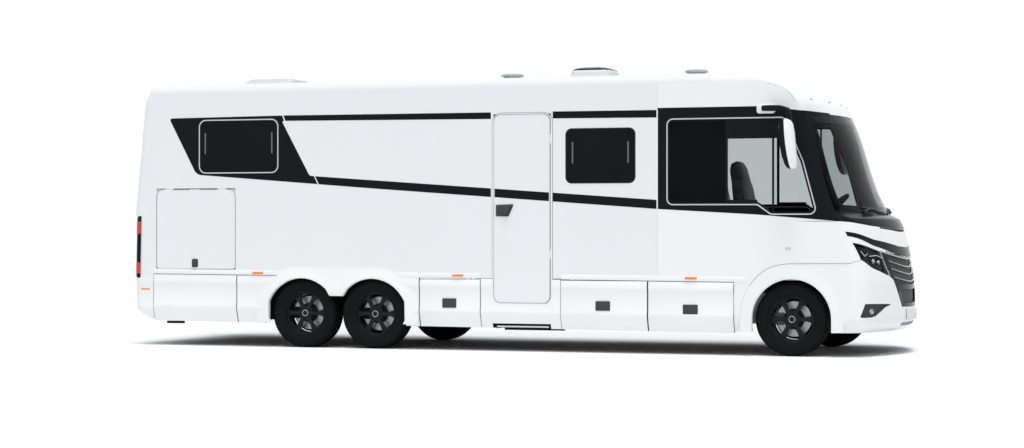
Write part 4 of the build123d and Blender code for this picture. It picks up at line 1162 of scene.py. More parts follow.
def build_doors():
    """Door surround, seals, handle, garage outlines and locks."""
    white, seal, black = moulding(), seal_rubber_and_shadow_grey(), black_plastic()
    line = box_outline(X_DOOR, X_DOOR + DOOR_WIDTH, DOOR_LOW, DOOR_TOP)
    wide = trim_settings().seal_width
    frame_line = box_outline(X_DOOR - 0.018, X_DOOR + DOOR_WIDTH + 0.030, DOOR_LOW - 0.010, DOOR_TOP + 0.016)
    room = box_outline(X_DOOR - 0.009, X_DOOR + DOOR_WIDTH + 0.015, DOOR_LOW - 0.009, DOOR_TOP + 0.009)
    ring = Shape().side_ring(
        rounded(frame_line, 0.098, 8), rounded(room, 0.078, 8), RIGHT, HALF - 0.003, HALF + 0.005
    )
    ring.make("door_surround", white, slot="white_moulding", bevel=0.002)
    outline = Shape().side_ring(
        rounded(grow(frame_line, wide), 0.098 + wide, 8), rounded(frame_line, 0.098, 8), RIGHT, HALF - 0.003,
        HALF + 0.001
    )
    outline.make("door_outer_seal", seal, slot="black_plastic")
    gap = Shape().side_ring(
        rounded(grow(line, 0.0095), 0.078, 8), rounded(grow(line, 0.0005), 0.070, 8), RIGHT, HALF - 0.010,
        HALF - 0.001
    )
    gap.make("door_seal", light_seal_and_crease_shade(), slot="black_plastic")
    skin = Shape().side_plate(
        rounded(grow(line, -0.001), 0.069, 8), RIGHT, HALF - 0.004, HALF + 0.0005, 0.002
    )
    skin.make("door_skin", gelcoat(), "entrance_door", "white_panel")
    x = X_DOOR + 0.022
    handle = Shape().side_plate(
        rounded([(x, 1.377), (x + 0.135, 1.374), (x + 0.193, 1.500), (x, 1.492)], 0.010, 4), RIGHT, HALF,
        HALF + 0.012, 0.004
    )
    handle.side_plate(
        rounded([(x + 0.070, 1.392), (x + 0.130, 1.390), (x + 0.172, 1.486), (x + 0.070, 1.482)], 0.012, 4),
        RIGHT, HALF + 0.010, HALF + 0.030, 0.008
    )
    handle.make("door_handle", black, "entrance_door", "black_plastic", bevel=0.0015)
    for name, side in SIDES.items():
        low, top = GARAGE_LOW, GARAGE_TOP
        outer = rounded(
            box_outline(X_GARAGE - 0.004, X_GARAGE_END + 0.004, low - 0.2, top + 0.004), [0, 0, 0.075, 0.075],
            8
        )
        seals = Shape()
        arch = [(x, side * (HALF + 0.0006), z) for x, z in outer if z > low - 0.01]
        span = X_GARAGE_END - X_GARAGE
        gaps = [X_GARAGE + span * share for share in (0.145, 0.49, 0.83)]

        def open_run(points):
            run = []
            for point in points:
                if point[2] > top - 0.01 and any(abs(point[0] - x) < 0.05 for x in gaps):
                    if len(run) > 1:
                        yield run
                    run = []
                else:
                    run.append(point)
            if len(run) > 1:
                yield run

        dense = []
        for a, b in zip(arch, arch[1:]):
            steps = max(1, int((Vector(b) - Vector(a)).length / 0.02))
            dense += [tuple(Vector(a).lerp(Vector(b), k / steps)) for k in range(steps)]
        dense.append(arch[-1])
        dense = [(dense[0][0], dense[0][1], low)] + dense + [(dense[-1][0], dense[-1][1], low)]
        for run in open_run(dense):
            seals.tube(run, 0.0028, 6)
        seals.make(f"garage_seal_{name}", seal, slot="black_plastic")
        square = box_outline(X_GARAGE, X_GARAGE_END, low + 0.020, top)
        filler = Shape().side_ring(
            grow(square, PANEL_GAP + 0.001), grow(square, 0.0015), side, HALF - 0.010, HALF - 0.0003
        )
        filler.make(f"garage_filler_{name}", gelcoat(), slot="white_panel")
        lock = Shape().side_plate(
            rounded(box_outline(X_FRONT - 6.465 - 0.035, X_FRONT - 6.465 + 0.035, 0.838, 0.928), 0.016, 4),
            side, HALF, HALF + 0.010, 0.003
        )
        lock.make(f"garage_lock_{name}", black, f"garage_door_{name}", "black_plastic", bevel=0.001)


# Skirts: section from the top edge down, distance from the middle plane and height
SKIRT_LINE = [
    (1.1505, 0.745), (1.1530, 0.728), (1.1600, 0.680), (1.1610, 0.664), (1.1585, 0.650), (1.1530, 0.630),
    (1.1520, 0.560),
    (1.1540, 0.440), (1.1610, 0.416), (1.1620, 0.402), (1.1580, 0.382), (1.1450, 0.335), (1.1280, 0.285),
    (1.1100, 0.243),
]


def rake(x):
    """How far the skirts' lines lie above the table's heights: they fall slightly to the front."""
    return 0.0066 * (X_FRONT - 3.800 - x)


def skirt_rings(x0, x1, side, top=0.745, cap=1.0):
    """Two or more closed sections of a skirt whose upper edge lies at top, or at cap where that is lower."""
    line = [(y, z) for y, z in SKIRT_LINE if z < 0.720]
    high = np.interp(top, [z for _, z in reversed(SKIRT_LINE)], [y for y, _ in reversed(SKIRT_LINE)])
    line = [(float(high), top)] + line
    section = line + [(y - 0.006, z) for y, z in reversed(line)]
    count = max(1, int((x1 - x0) / 0.5))
    places = [x0 + (x1 - x0) * k / count for k in range(count + 1)]
    return [[(x, side * y, min(z + rake(x), cap)) for y, z in section] for x in places]


def rear_arch_outline():
    """The outline of the opening over the tandem wheels, with its tooth in the middle and upright ends."""
    middle = (X_MID + X_REAR) / 2
    right = [(X_MID + 0.355, -0.1), (X_MID + 0.375, 0.30)]
    right += [
        (X_MID + REAR_ARCH_R * math.cos(a), REAR_ARCH_Z + REAR_ARCH_R * math.sin(a))
        for a in (math.radians(25 + 9 * k) for k in range(13))
    ]
    right = [point for point in right if point[0] > middle + 0.085]
    right.append((middle + 0.075, 0.547))
    left = [(2 * middle - x, z) for x, z in reversed(right)]
    return right + left


FLAPS = {"rear": (-3.209, 0.676), "mid": (-1.437, 0.912), "front": (-0.553, 0.884)}
LINE_TOP, FLAP_TOP = 0.741, 0.7270


def rail_runs():
    """Where the sill rail runs along X, in three lengths."""
    return [(X_CORNER, X_FRONT - 5.50), (X_FRONT - 4.13, X_FRONT - 3.215), (X_FRONT - 2.349, X_FRONT - 0.430)]


def build_skirts():
    """Fixed skirts, hinged flaps with their locks, the sill rail, the rear corner and the markers."""
    paint, gap, black = moulding(), dark_gap(), black_plastic()
    x_shut, x_arch = X_TAIL + 1.252, X_FRONT - 3.209 - 0.676
    x_surround, x_surround_end = X_FRONT - 3.209, X_FRONT - 2.349
    for name, side in SIDES.items():
        spans = [
            (X_CORNER, x_shut - 0.006), (x_shut + 0.004, x_arch - 0.006), (x_surround, x_surround_end - 0.006)
        ]
        skirt = Shape()
        for x0, x1 in spans:
            skirt.loft(skirt_rings(x0, x1, side, 0.752 if x1 < X_REAR else 0.745))
        steps = [("DIFFERENCE", side_prism(rear_arch_outline(), side * 0.9, side * 1.3))]
        if side == RIGHT:
            door = rounded(
                box_outline(X_DOOR - 0.008, X_DOOR + DOOR_WIDTH + 0.019, DOOR_LOW - 0.008, 1.0),
                [0.078, 0.078, 0, 0], 8
            )
            step = box_outline(X_DOOR - 0.022, X_DOOR + DOOR_WIDTH + 0.006, 0.1, 0.284)
            steps += [("DIFFERENCE", side_prism(line, -1.3, -1.0)) for line in (door, step)]
        mesh = carve(skirt, "skirt", *steps)
        settle(mesh, f"skirt_skin_{name}", paint, replaces=(f"skirt_{name}",))
        wide_lines, thin_lines = Shape(), Shape()
        for x, half in (
            (X_CORNER - 0.002, 0.003), (x_shut, 0.007), (x_arch - 0.001, 0.006), (x_surround - 0.003, 0.004),
            (x_surround_end - 0.003, 0.004), (X_FRONT - 1.437 - 0.005, 0.006), (X_FENDER - 0.006, 0.006)
        ):
            bar = [
                [
                    (x + dx, side * (y - 0.009 + dy), z + rake(x))
                    for dx, dy in ((-half, 0), (half, 0), (half, 0.008), (-half, 0.008))
                ]
                for y, z in SKIRT_LINE
            ]
            (wide_lines if half > 0.005 else thin_lines).loft(bar)
        wide_lines.make(f"skirt_shut_lines_{name}", gap, slot="black_plastic")
        thin_lines.make(f"skirt_thin_lines_{name}", seal_rubber_and_shadow_grey(), slot="black_plastic")
        for flap, (front, long) in FLAPS.items():
            x1, x0 = X_FRONT + front - 0.010, X_FRONT + front - long
            piece = Shape().loft(
                skirt_rings(x0 + (0.004 if flap != "mid" else 0), x1, side, LINE_TOP - 0.001, FLAP_TOP)
            )
            piece.make(
                f"flap_skin_{name}_{flap}", paint, f"flap_{name}_{flap}", "white_skirt",
                replaces=(f"flap_{name}_{flap}",), bevel=0.001
            )
            middle = {"rear": X_FRONT - 3.554, "mid": X_FRONT - 1.906, "front": X_FRONT - 1.000}[flap]
            z = {"rear": 0.487, "mid": 0.475, "front": 0.450}[flap]
            if side == LEFT:
                middle = x0 + x1 - middle
            lock = Shape().side_plate(
                rounded(box_outline(middle - 0.076, middle + 0.076, z - 0.048, z + 0.048), 0.008, 3), side,
                HALF, HALF + 0.012, 0.002
            )
            lock.side_plate(
                rounded(box_outline(middle - 0.055, middle + 0.055, z - 0.030, z + 0.022), 0.008, 3), side,
                HALF + 0.010, HALF + 0.0135, 0.002
            )
            lock.make(f"flap_lock_{name}_{flap}", black, f"flap_{name}_{flap}", "black_plastic", bevel=0.001)
        rail, under = Shape(), Shape()
        section = [
            (HALF - 0.002, 0.748), (HALF + 0.003, 0.748), (HALF + 0.004, 0.754), (HALF + 0.0035, 0.782),
            (HALF + 0.0015, 0.796), (HALF - 0.002, 0.800)
        ]
        # The grey strip below the rail is a painted shadow: it stands where the rail's shade falls on the
        # wall.
        shadow = [
            (HALF - 0.012, LINE_TOP + 0.001), (HALF - 0.0005, LINE_TOP + 0.001), (HALF - 0.0005, 0.748),
            (HALF - 0.012, 0.748)
        ]
        for x0, x1 in rail_runs():
            rail.loft([[(x, side * y, z + rake(x)) for y, z in section] for x in (x0, x1)])
            under.loft(
                [
                    [(x, side * (y + (0.005 if x1 < X_REAR else 0)), z + rake(x)) for y, z in shadow]
                    for x in (x0, x1)
                ]
            )
        for flap in ("rear", "mid"):
            front, long = FLAPS[flap]
            x0, x1 = X_FRONT + front - long + 0.004, X_FRONT + front - 0.004
            rail.loft(
                [
                    [
                        (x, side * y, z)
                        for y, z in (
                            (HALF - 0.010, FLAP_TOP + 0.003), (HALF - 0.0012, FLAP_TOP + 0.003),
                            (HALF - 0.0012, LINE_TOP + rake(x) + 0.001),
                            (HALF - 0.010, LINE_TOP + rake(x) + 0.001)
                        )
                    ]
                    for x in (x0, (x0 + x1) / 2, x1)
                    if LINE_TOP + rake(x) > FLAP_TOP + 0.004
                ]
            )
        rail.make(f"sill_rail_{name}", paint, slot="white_moulding", crease=50)
        under.make(f"sill_shadow_{name}", seal_rubber_and_shadow_grey(), slot="black_plastic")
        markers = Shape()
        for x, z in ((-5.722, 0.781), (-3.461, 0.770), (-0.995, 0.760)):
            markers.side_plate(
                rounded(
                    box_outline(X_FRONT + x - 0.062, X_FRONT + x + 0.062, z - 0.011, z + 0.011), 0.008, 3
                ),
                side, HALF, HALF + 0.014, 0.003
            )
        markers.side_plate(
            rounded(box_outline(X_FRONT - 7.057 - 0.055, X_FRONT - 7.057 + 0.055, 0.590, 0.612), 0.008, 3),
            side, HALF - 0.03, HALF + 0.004, 0.003
        )
        markers.make(
            f"side_markers_{name}", lens("marker_orange", paint_settings().marker, 0.15), slot="lamp_red",
            bevel=0.001
        )
        repeater = Shape().side_plate(
            rounded(box_outline(X_FRONT - 0.045, X_FRONT + 0.010, 1.044, 1.070), 0.006, 3), side, HALF,
            HALF + 0.008, 0.002
        )
        repeater.make(f"repeater_{name}", frame_silver(), slot="lamp_clear", bevel=0.001)
    box = Shape().block((X_DOOR - 0.040, -1.100, 0.236), (X_DOOR - 0.024, -0.700, 0.290))
    box.block((X_DOOR - 0.040, -0.712, 0.200), (X_DOOR + DOOR_WIDTH + 0.020, -0.700, 0.292))
    box.block((X_DOOR - 0.040, -1.120, 0.288), (X_DOOR + DOOR_WIDTH + 0.020, -0.700, 0.294))
    box.make("step_housing", gap, slot="black_plastic")
    build_rear_corner()


def build_rear_corner():
    """The lower rear moulding, round at its corners and drawn in towards its lower edge."""
    rows = [
        (0.766, 0.022, 0.0), (0.740, 0.024, -0.001), (0.664, 0.020, 0.010), (0.640, 0.024, 0.003),
        (0.420, 0.026, 0.006), (0.402, 0.026, 0.010), (0.370, 0.042, 0.004), (0.330, 0.075, -0.010),
        (0.295, 0.120, -0.026), (0.272, 0.175, -0.036), (0.262, 0.230, -0.044)
    ]
    rings = []
    for z, inset, out in rows:
        radius = 0.075 + inset * 0.6
        tail, half = X_TAIL + inset, HALF + out
        outer = [(X_CORNER - 0.006, -half)]
        outer += [
            (tail + radius - radius * math.sin(a), -half + radius - radius * math.cos(a))
            for a in (math.pi / 2 * k / 10 for k in range(11))
        ]
        outer += [(x, -y) for x, y in reversed(outer)]
        inner = [(x + (0.012 if x < X_CORNER - 0.05 else 0), y * (1 - 0.012 / half)) for x, y in outer]
        rings.append([(x, y, z) for x, y in outer] + [(x, y, z) for x, y in reversed(inner)])
    rear = Shape().loft(rings)
    rear.make("rear_moulding", moulding(), slot="white_moulding", replaces=("rear_bumper",), crease=50)


def arc(x, z, radius, start, end, steps=24):
    """Points of an arc in X and Z between two angles in degrees."""
    angles = [math.radians(start + (end - start) * k / steps) for k in range(steps + 1)]
    return [(x + radius * math.cos(a), z + radius * math.sin(a)) for a in angles]


def flare(shape, inner, outer, side, proud):
    """A raised wheel arch flare between two edges with as many points, blending into the panel."""
    profile = (
        (0.0, -0.02), (0.0, 0.60), (0.03, 0.85), (0.09, 1.0), (0.20, 0.92), (0.35, 0.70), (0.55, 0.40),
        (0.75, 0.18), (0.90, 0.06), (1.0, 0.0)
    )
    rings = []
    for (x0, z0), (x1, z1) in zip(inner, outer):
        ring = [(x0, side * (HALF - 0.030), z0)]
        for share, lift in profile[1:]:
            base = HALF + 0.0035 if z1 < 0.700 else HALF + 0.0005
            ring.append((x0 + (x1 - x0) * share, side * (base + lift * proud), z0 + (z1 - z0) * share))
        ring.append((x1, side * (HALF - 0.008), z1))
        rings.append(ring)
    shape.loft(rings)


def resample(points, count):
    """As many points evenly spaced along an open line."""
    points = np.array(points)
    runs = np.concatenate([[0], np.cumsum(np.linalg.norm(np.diff(points, axis=0), axis=1))])
    places = np.linspace(0, runs[-1], count)
    return list(zip(np.interp(places, runs, points[:, 0]), np.interp(places, runs, points[:, 1])))


def curve_through(points, steps=8):
    """A smooth line through open points."""
    points = [Vector(point) for point in points]
    points = [2 * points[0] - points[1]] + points + [2 * points[-1] - points[-2]]
    line = []
    for a, b, c, d in zip(points, points[1:], points[2:], points[3:]):
        for k in range(steps):
            t = k / steps
            line.append(
                tuple(
                    0.5 * (
                        2 * b + (c - a) * t + (
                            2 * a - 5 * b + 4 * c - d
                        ) * t**2 + (3 * b - a - 3 * c + d) * t**3
                    )
                )
            )
    return line + [tuple(points[-2])]


def build_flares():
    """Flares round the wheel openings."""
    paint, proud = moulding(), trim_settings().flare_proud
    middle = (X_MID + X_REAR) / 2
    rear_inner = [(x, max(z, 0.262 + rake(x))) for x, z in rear_arch_outline()]
    half_outer = [
        (0.515, 0.262), (0.520, 0.40), (0.490, 0.55), (0.420, 0.690), (0.300, 0.790), (0.150, 0.840),
        (0.0, 0.850)
    ]
    outer_right = [(X_MID + dx, z) for dx, z in half_outer]
    rear_outer = curve_through(
        outer_right + [(middle, 0.846)] + [(2 * middle - x, z) for x, z in reversed(outer_right)]
    )
    seam = [
        (-0.503, 0.235), (-0.500, 0.341), (-0.486, 0.475), (-0.451, 0.597), (-0.391, 0.705), (-0.301, 0.804),
        (-0.201, 0.869), (-0.101, 0.897), (0.000, 0.908)
    ]
    front_x = X_FRONT + FRONT_ARCH_X
    front_inner = [(x, max(z, 0.237)) for x, z in arch_outline(front_x, TYRE_R, FRONT_ARCH_R - 0.002)]
    right = [(0.535, 0.240), (0.520, 0.40), (0.480, 0.56), (0.400, 0.700), (0.290, 0.810), (0.150, 0.880)]
    front_outer = curve_through(from_axle(right + [(x, z) for x, z in reversed(seam)]))
    for name, side in SIDES.items():
        rear = Shape()
        flare(rear, resample(rear_inner, 120), resample(rear_outer, 120), side, proud)
        rear.make(f"rear_flare_{name}", paint, slot="white_moulding", crease=60)
        front = Shape()
        flare(front, resample(front_inner, 70), resample(front_outer, 70), side, proud * 0.7)
        front.make(f"front_flare_{name}", paint, slot="white_moulding", crease=60)
        line = curve_through(from_axle(seam)) + from_axle([(0.300, 0.911), (0.560, 0.913)])
        lines = Shape().tube([(x, side * (HALF + 0.0006), z) for x, z in line], 0.0022, 6)
        tail = [
            nose_point(side * 1.140, 0.915, 0.0004), nose_point(side * 1.115, 0.933, 0.0004),
            nose_point(side * 1.085, 0.945, 0.0004)
        ]
        lines.tube([Vector((X_FRONT + 0.560, side * (HALF + 0.0004), 0.913))] + tail, 0.0022, 6)
        visor = [(-0.220, 2.690), (-0.080, 2.640), (0.005, 2.575), (0.050, 2.500)]
        lines.make(f"fender_seam_{name}", seal_rubber_and_shadow_grey(), slot="black_plastic")
        # The grey line along the visor is painted shade: it draws the cap's crease as a line on the white.
        crease = Shape().tube(
            [(x, side * (HALF + 0.0003), z) for x, z in curve_through(from_axle(visor))], 0.0018, 6
        )
        crease.make(f"visor_crease_shade_{name}", light_seal_and_crease_shade(), slot="white_moulding")
        liner = Shape()
        for x, z, radius, low, high in (
            (front_x, TYRE_R, 0.416, 55, 125), (X_MID, REAR_ARCH_Z, 0.424, -5, 150),
            (X_REAR, REAR_ARCH_Z, 0.424, 30, 185)
        ):
            pairs = zip(arc(x, z, radius, low, high), arc(x, z, radius + 0.004, low, high))
            liner.loft(
                [
                    [
                        (a, side * 0.74, b), (a, side * (HALF - 0.02), b), (c, side * (HALF - 0.02), d),
                        (c, side * 0.74, d)
                    ]
                    for (a, b), (c, d) in pairs
                ]
            )
        liner.make(f"arch_liner_{name}", cabin_trim(), slot="black_plastic")


# Wheels

def node_tree(name, inputs):
    """A geometry tree with its named inputs and one geometry output."""
    tree = bpy.data.node_groups.new(name, "GeometryNodeTree")
    tree.interface.new_socket("Geometry", in_out="INPUT", socket_type="NodeSocketGeometry")
    for label, kind, value in inputs:
        socket = tree.interface.new_socket(label, in_out="INPUT", socket_type=kind)
        if value is not None:
            socket.default_value = value
    tree.interface.new_socket("Geometry", in_out="OUTPUT", socket_type="NodeSocketGeometry")
    return tree, tree.nodes.new("NodeGroupInput"), tree.nodes.new("NodeGroupOutput")


def ring_tree():
    """Copies of a mesh turned about the Y axis through the origin."""
    if "ring_of_copies" in bpy.data.node_groups:
        return bpy.data.node_groups["ring_of_copies"]
    tree, start, end = node_tree(
        "ring_of_copies",
        [
            ("Count", "NodeSocketInt", 6), ("First angle", "NodeSocketFloat", 0.0),
            ("Material", "NodeSocketMaterial", None)
        ]
    )
    nodes, link = tree.nodes, tree.links.new
    points = nodes.new("GeometryNodePoints")
    index = nodes.new("GeometryNodeInputIndex")
    step, angle, total = (nodes.new("ShaderNodeMath") for _ in range(3))
    step.operation, angle.operation, total.operation = "DIVIDE", "MULTIPLY", "ADD"
    step.inputs[0].default_value = 2 * math.pi
    turn = nodes.new("ShaderNodeCombineXYZ")
    copies = nodes.new("GeometryNodeInstanceOnPoints")
    whole = nodes.new("GeometryNodeRealizeInstances")
    paint = nodes.new("GeometryNodeSetMaterial")
    link(start.outputs["Count"], points.inputs["Count"])
    link(start.outputs["Count"], step.inputs[1])
    link(step.outputs[0], angle.inputs[0])
    link(index.outputs[0], angle.inputs[1])
    link(angle.outputs[0], total.inputs[0])
    link(start.outputs["First angle"], total.inputs[1])
    link(total.outputs[0], turn.inputs["Y"])
    link(points.outputs[0], copies.inputs["Points"])
    link(start.outputs["Geometry"], copies.inputs["Instance"])
    link(turn.outputs[0], copies.inputs["Rotation"])
    link(copies.outputs[0], whole.inputs[0])
    link(whole.outputs[0], paint.inputs["Geometry"])
    link(start.outputs["Material"], paint.inputs["Material"])
    link(paint.outputs[0], end.inputs[0])
    return tree


def row_tree():
    """Copies of a mesh in a straight row."""
    if "row_of_copies" in bpy.data.node_groups:
        return bpy.data.node_groups["row_of_copies"]
    tree, start, end = node_tree(
        "row_of_copies",
        [
            ("Count", "NodeSocketInt", 6), ("Step", "NodeSocketVector", (0.1, 0, 0)),
            ("Material", "NodeSocketMaterial", None)
        ]
    )
    nodes, link = tree.nodes, tree.links.new
    points = nodes.new("GeometryNodePoints")
    index = nodes.new("GeometryNodeInputIndex")
    place = nodes.new("ShaderNodeVectorMath")
    place.operation = "SCALE"
    copies = nodes.new("GeometryNodeInstanceOnPoints")
    whole = nodes.new("GeometryNodeRealizeInstances")
    paint = nodes.new("GeometryNodeSetMaterial")
    link(start.outputs["Count"], points.inputs["Count"])
    link(start.outputs["Step"], place.inputs[0])
    link(index.outputs[0], place.inputs["Scale"])
    link(place.outputs[0], points.inputs["Position"])
    link(points.outputs[0], copies.inputs["Points"])
    link(start.outputs["Geometry"], copies.inputs["Instance"])
    link(copies.outputs[0], whole.inputs[0])
    link(whole.outputs[0], paint.inputs["Geometry"])
    link(start.outputs["Material"], paint.inputs["Material"])
    link(paint.outputs[0], end.inputs[0])
    return tree


def repeat(shape, name, tree, material, move, **values):
    """Runs a shape through a geometry tree and returns the plain mesh, moved to its place."""
    source = loose(shape, name + "_one")
    modifier = source.modifiers.new("copies", "NODES")
    modifier.node_group = tree
    for item in tree.interface.items_tree:
        if item.in_out == "INPUT" and item.name in values:
            modifier[item.identifier] = values[item.name]
        if item.in_out == "INPUT" and item.name == "Material":
            modifier[item.identifier] = material
    bake(source)
    mesh = source.data
    bpy.data.objects.remove(source)
    mesh.transform(Matrix.Translation(move))
    return mesh


TYRE_PROFILE = [
    (0.0990, 0.2292), (0.1060, 0.2360), (0.1115, 0.2440), (0.1150, 0.2470), (0.1155, 0.2520),
    (0.1190, 0.2620),
    (0.1215, 0.2800), (0.1225, 0.2950), (0.1218, 0.3120), (0.1190, 0.3270), (0.1150, 0.3380),
    (0.1140, 0.3400), (0.1100, 0.3440),
    (0.0990, 0.3510), (0.0900, 0.3530), (0.0450, 0.3540),
]


def tread_row(depth):
    """One row of tread blocks across a tyre, at the top of the wheel."""
    row = Shape()
    count = trim_settings().tread_count
    half = math.pi * TYRE_R / count * 0.80
    top = TYRE_R - 0.0004
    ribs = [
        (-0.105, -0.070, 0.5), (-0.064, -0.026, 0.35), (-0.020, 0.020, 0.0), (0.026, 0.064, -0.35),
        (0.070, 0.105, -0.5)
    ]
    for y0, y1, slant in ribs:
        middle = (y0 + y1) / 2
        rings = []
        for z, share in ((top - depth - 0.003, 1.0), (top - 0.0012, 0.98), (top, 0.90)):
            ring = []
            for y, x in ((y0, -half), (y1, -half), (y1, half), (y0, half)):
                edge = 0.004 if abs(y) > 0.1 and z > top - 0.002 else 0.0
                ring.append((x * share + (y - middle) * slant, middle + (y - middle) * share, z - edge))
            rings.append(ring)
        row.loft(rings)
    return row


def spoke(side):
    """One wheel spoke, pointing along X from the wheel's middle."""
    shape = Shape()
    rows = [(0.050, 0.028, 0.078, 0.004), (0.085, 0.021, 0.076, 0.008), (0.120, 0.020, 0.072, 0.009),
            (0.150, 0.022, 0.068, 0.008), (0.178, 0.030, 0.064, 0.006), (0.208, 0.050, 0.060, 0.002)]
    rings = []
    for r, half, out, ridge in rows:
        section = [
            (-half, out - 0.030), (-half, out - 0.006), (-half * 0.82, out),
            (-half * 0.25, out + ridge * 0.3), (0, out + ridge * 0.2), (half * 0.25, out + ridge * 0.3),
            (half * 0.82, out), (half, out - 0.006), (half, out - 0.030)
        ]
        rings.append([(r, side * u, w) for w, u in section])
    return shape.loft(rings)


def build_wheels():
    """Tyres with their tread, black alloy wheels with six spokes, discs, caps and nuts."""
    rubber, alloy = tyre_rubber(), wheel_alloy()
    depth = trim_settings().tread_depth
    grey_cap = finish("cap_grey", (0.35, 0.36, 0.36), (0.3, 0.4), 0.9, 30, Metallic=0.7)
    for place, x in (("front", X_FRONT), ("mid", X_MID), ("rear", X_REAR)):
        for side_name, side in SIDES.items():
            name = f"{place}_{side_name}"
            body = f"wheel_{name}"
            middle = (x, side * WHEEL_Y, TYRE_R)
            closed = TYRE_PROFILE + [(-u, r) for u, r in reversed(TYRE_PROFILE)]
            tyre = Shape().turned(closed, middle, 1, 128)
            tyre.make(f"tyre_wall_{name}", rubber, body, "tyre", crease=40, replaces=(f"tyre_{name}",))
            mesh = repeat(
                tread_row(depth), f"tread_{name}", ring_tree(), rubber, middle,
                Count=trim_settings().tread_count
            )
            settle(mesh, f"tyre_tread_{name}", rubber, body, crease=30)
            rim = Shape().turned([
                (0.0985, 0.2290), (0.1020, 0.2270), (0.1020, 0.2215), (0.0960, 0.2190), (0.0780, 0.2165),
                (0.0620, 0.2130),
                (0.0560, 0.2070), (0.0200, 0.2010), (-0.0700, 0.2030), (-0.0980, 0.2140), (-0.0985, 0.2290),
                (-0.0800, 0.2230), (-0.0400, 0.2150), (0.0300, 0.2120), (0.0550, 0.2190), (0.0800, 0.2230),
            ], middle, side, 96)
            rim.turned(
                [
                    (0.036, 0.090), (0.062, 0.084), (0.074, 0.074), (0.077, 0.066), (0.077, 0.030),
                    (0.036, 0.030)
                ],
                middle, side, 72
            )
            rim.make(f"wheel_rim_{name}", alloy, body, "alloy_black", crease=30, replaces=(f"rim_{name}",))
            mesh = repeat(spoke(side), f"spokes_{name}", ring_tree(), alloy, middle, Count=6)
            settle(mesh, f"wheel_spokes_{name}", alloy, body, crease=24)
            nut = Shape().loft(
                [
                    [
                        (0.053 + r * math.cos(a), side * u, r * math.sin(a))
                        for a in (math.pi / 3 * k for k in range(6))
                    ]
                    for u, r in ((0.070, 0.0105), (0.086, 0.0105), (0.089, 0.008), (0.091, 0.004))
                ]
            )
            mesh = repeat(
                nut, f"nuts_{name}", ring_tree(), alloy, middle, Count=6, **{"First angle": math.pi / 6}
            )
            settle(mesh, f"wheel_nuts_{name}", alloy, body)
            disc = Shape().turned(
                [(-0.047, 0.174), (-0.047, 0.100), (-0.025, 0.100), (-0.025, 0.174)], middle, side, 96
            )
            disc.make(f"brake_disc_{name}", disc_steel(), body, "alloy_black")
            bell = Shape().turned(
                [(-0.030, 0.104), (-0.004, 0.102), (0.036, 0.070), (0.036, 0.030), (-0.030, 0.030)], middle,
                side, 48
            )
            bell.make(f"brake_bell_{name}", dark_gap(), body, "alloy_black")
            shield = Shape().turned(
                [(-0.087, 0.080), (-0.087, 0.199), (-0.084, 0.200), (-0.084, 0.080)], middle, side, 60
            )
            shield.make(
                f"brake_shield_{name}", dark_gap(), f"knuckle_{side_name}" if place == "front" else "root",
                "cast"
            )
            cap = Shape().turned(
                [(0.074, 0.037), (0.083, 0.036), (0.086, 0.032), (0.084, 0.026), (0.074, 0.026)], middle,
                side, 48
            )
            cap.make(f"cap_ring_{name}", grey_cap, body, "alloy_black", crease=50)
            centre_cap = Shape().turned(
                [(0.070, 0.0265), (0.083, 0.0262), (0.085, 0.018), (0.086, 0.001)], middle, side, 40,
                closed=False
            )
            centre_cap.turned(
                [(0.0835, 0.010), (0.0875, 0.009), (0.0878, 0.006), (0.0835, 0.005)], middle, side, 32
            )
            centre_cap.make(f"cap_centre_{name}", alloy, body, "alloy_black", crease=50)


def build_wipers():
    """Two long wipers with their arms, lying low on the glass."""
    black = black_plastic()
    for name, side in SIDES.items():
        blades = Shape()
        line = [(side * (0.06 + 0.60 * k / 12), 1.395 + 0.064 * k / 12) for k in range(13)]
        blades.tube([nose_point(y, z, 0.008) for y, z in line], 0.007, 8)
        blades.tube(
            [
                nose_point(side * y, z, out)
                for y, z, out in ((0.66, 1.418, 0.012), (0.52, 1.440, 0.022), (0.36, 1.436, 0.018))
            ],
            [0.012, 0.009, 0.006], 8
        )
        pivot = nose_point(side * 0.66, 1.405, 0.0)
        blades.tube([pivot, pivot + Vector((0.020, 0, 0.028))], 0.018, 16)
        blades.make(f"wiper_{name}", black, slot="black_plastic")
    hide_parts("wipers")


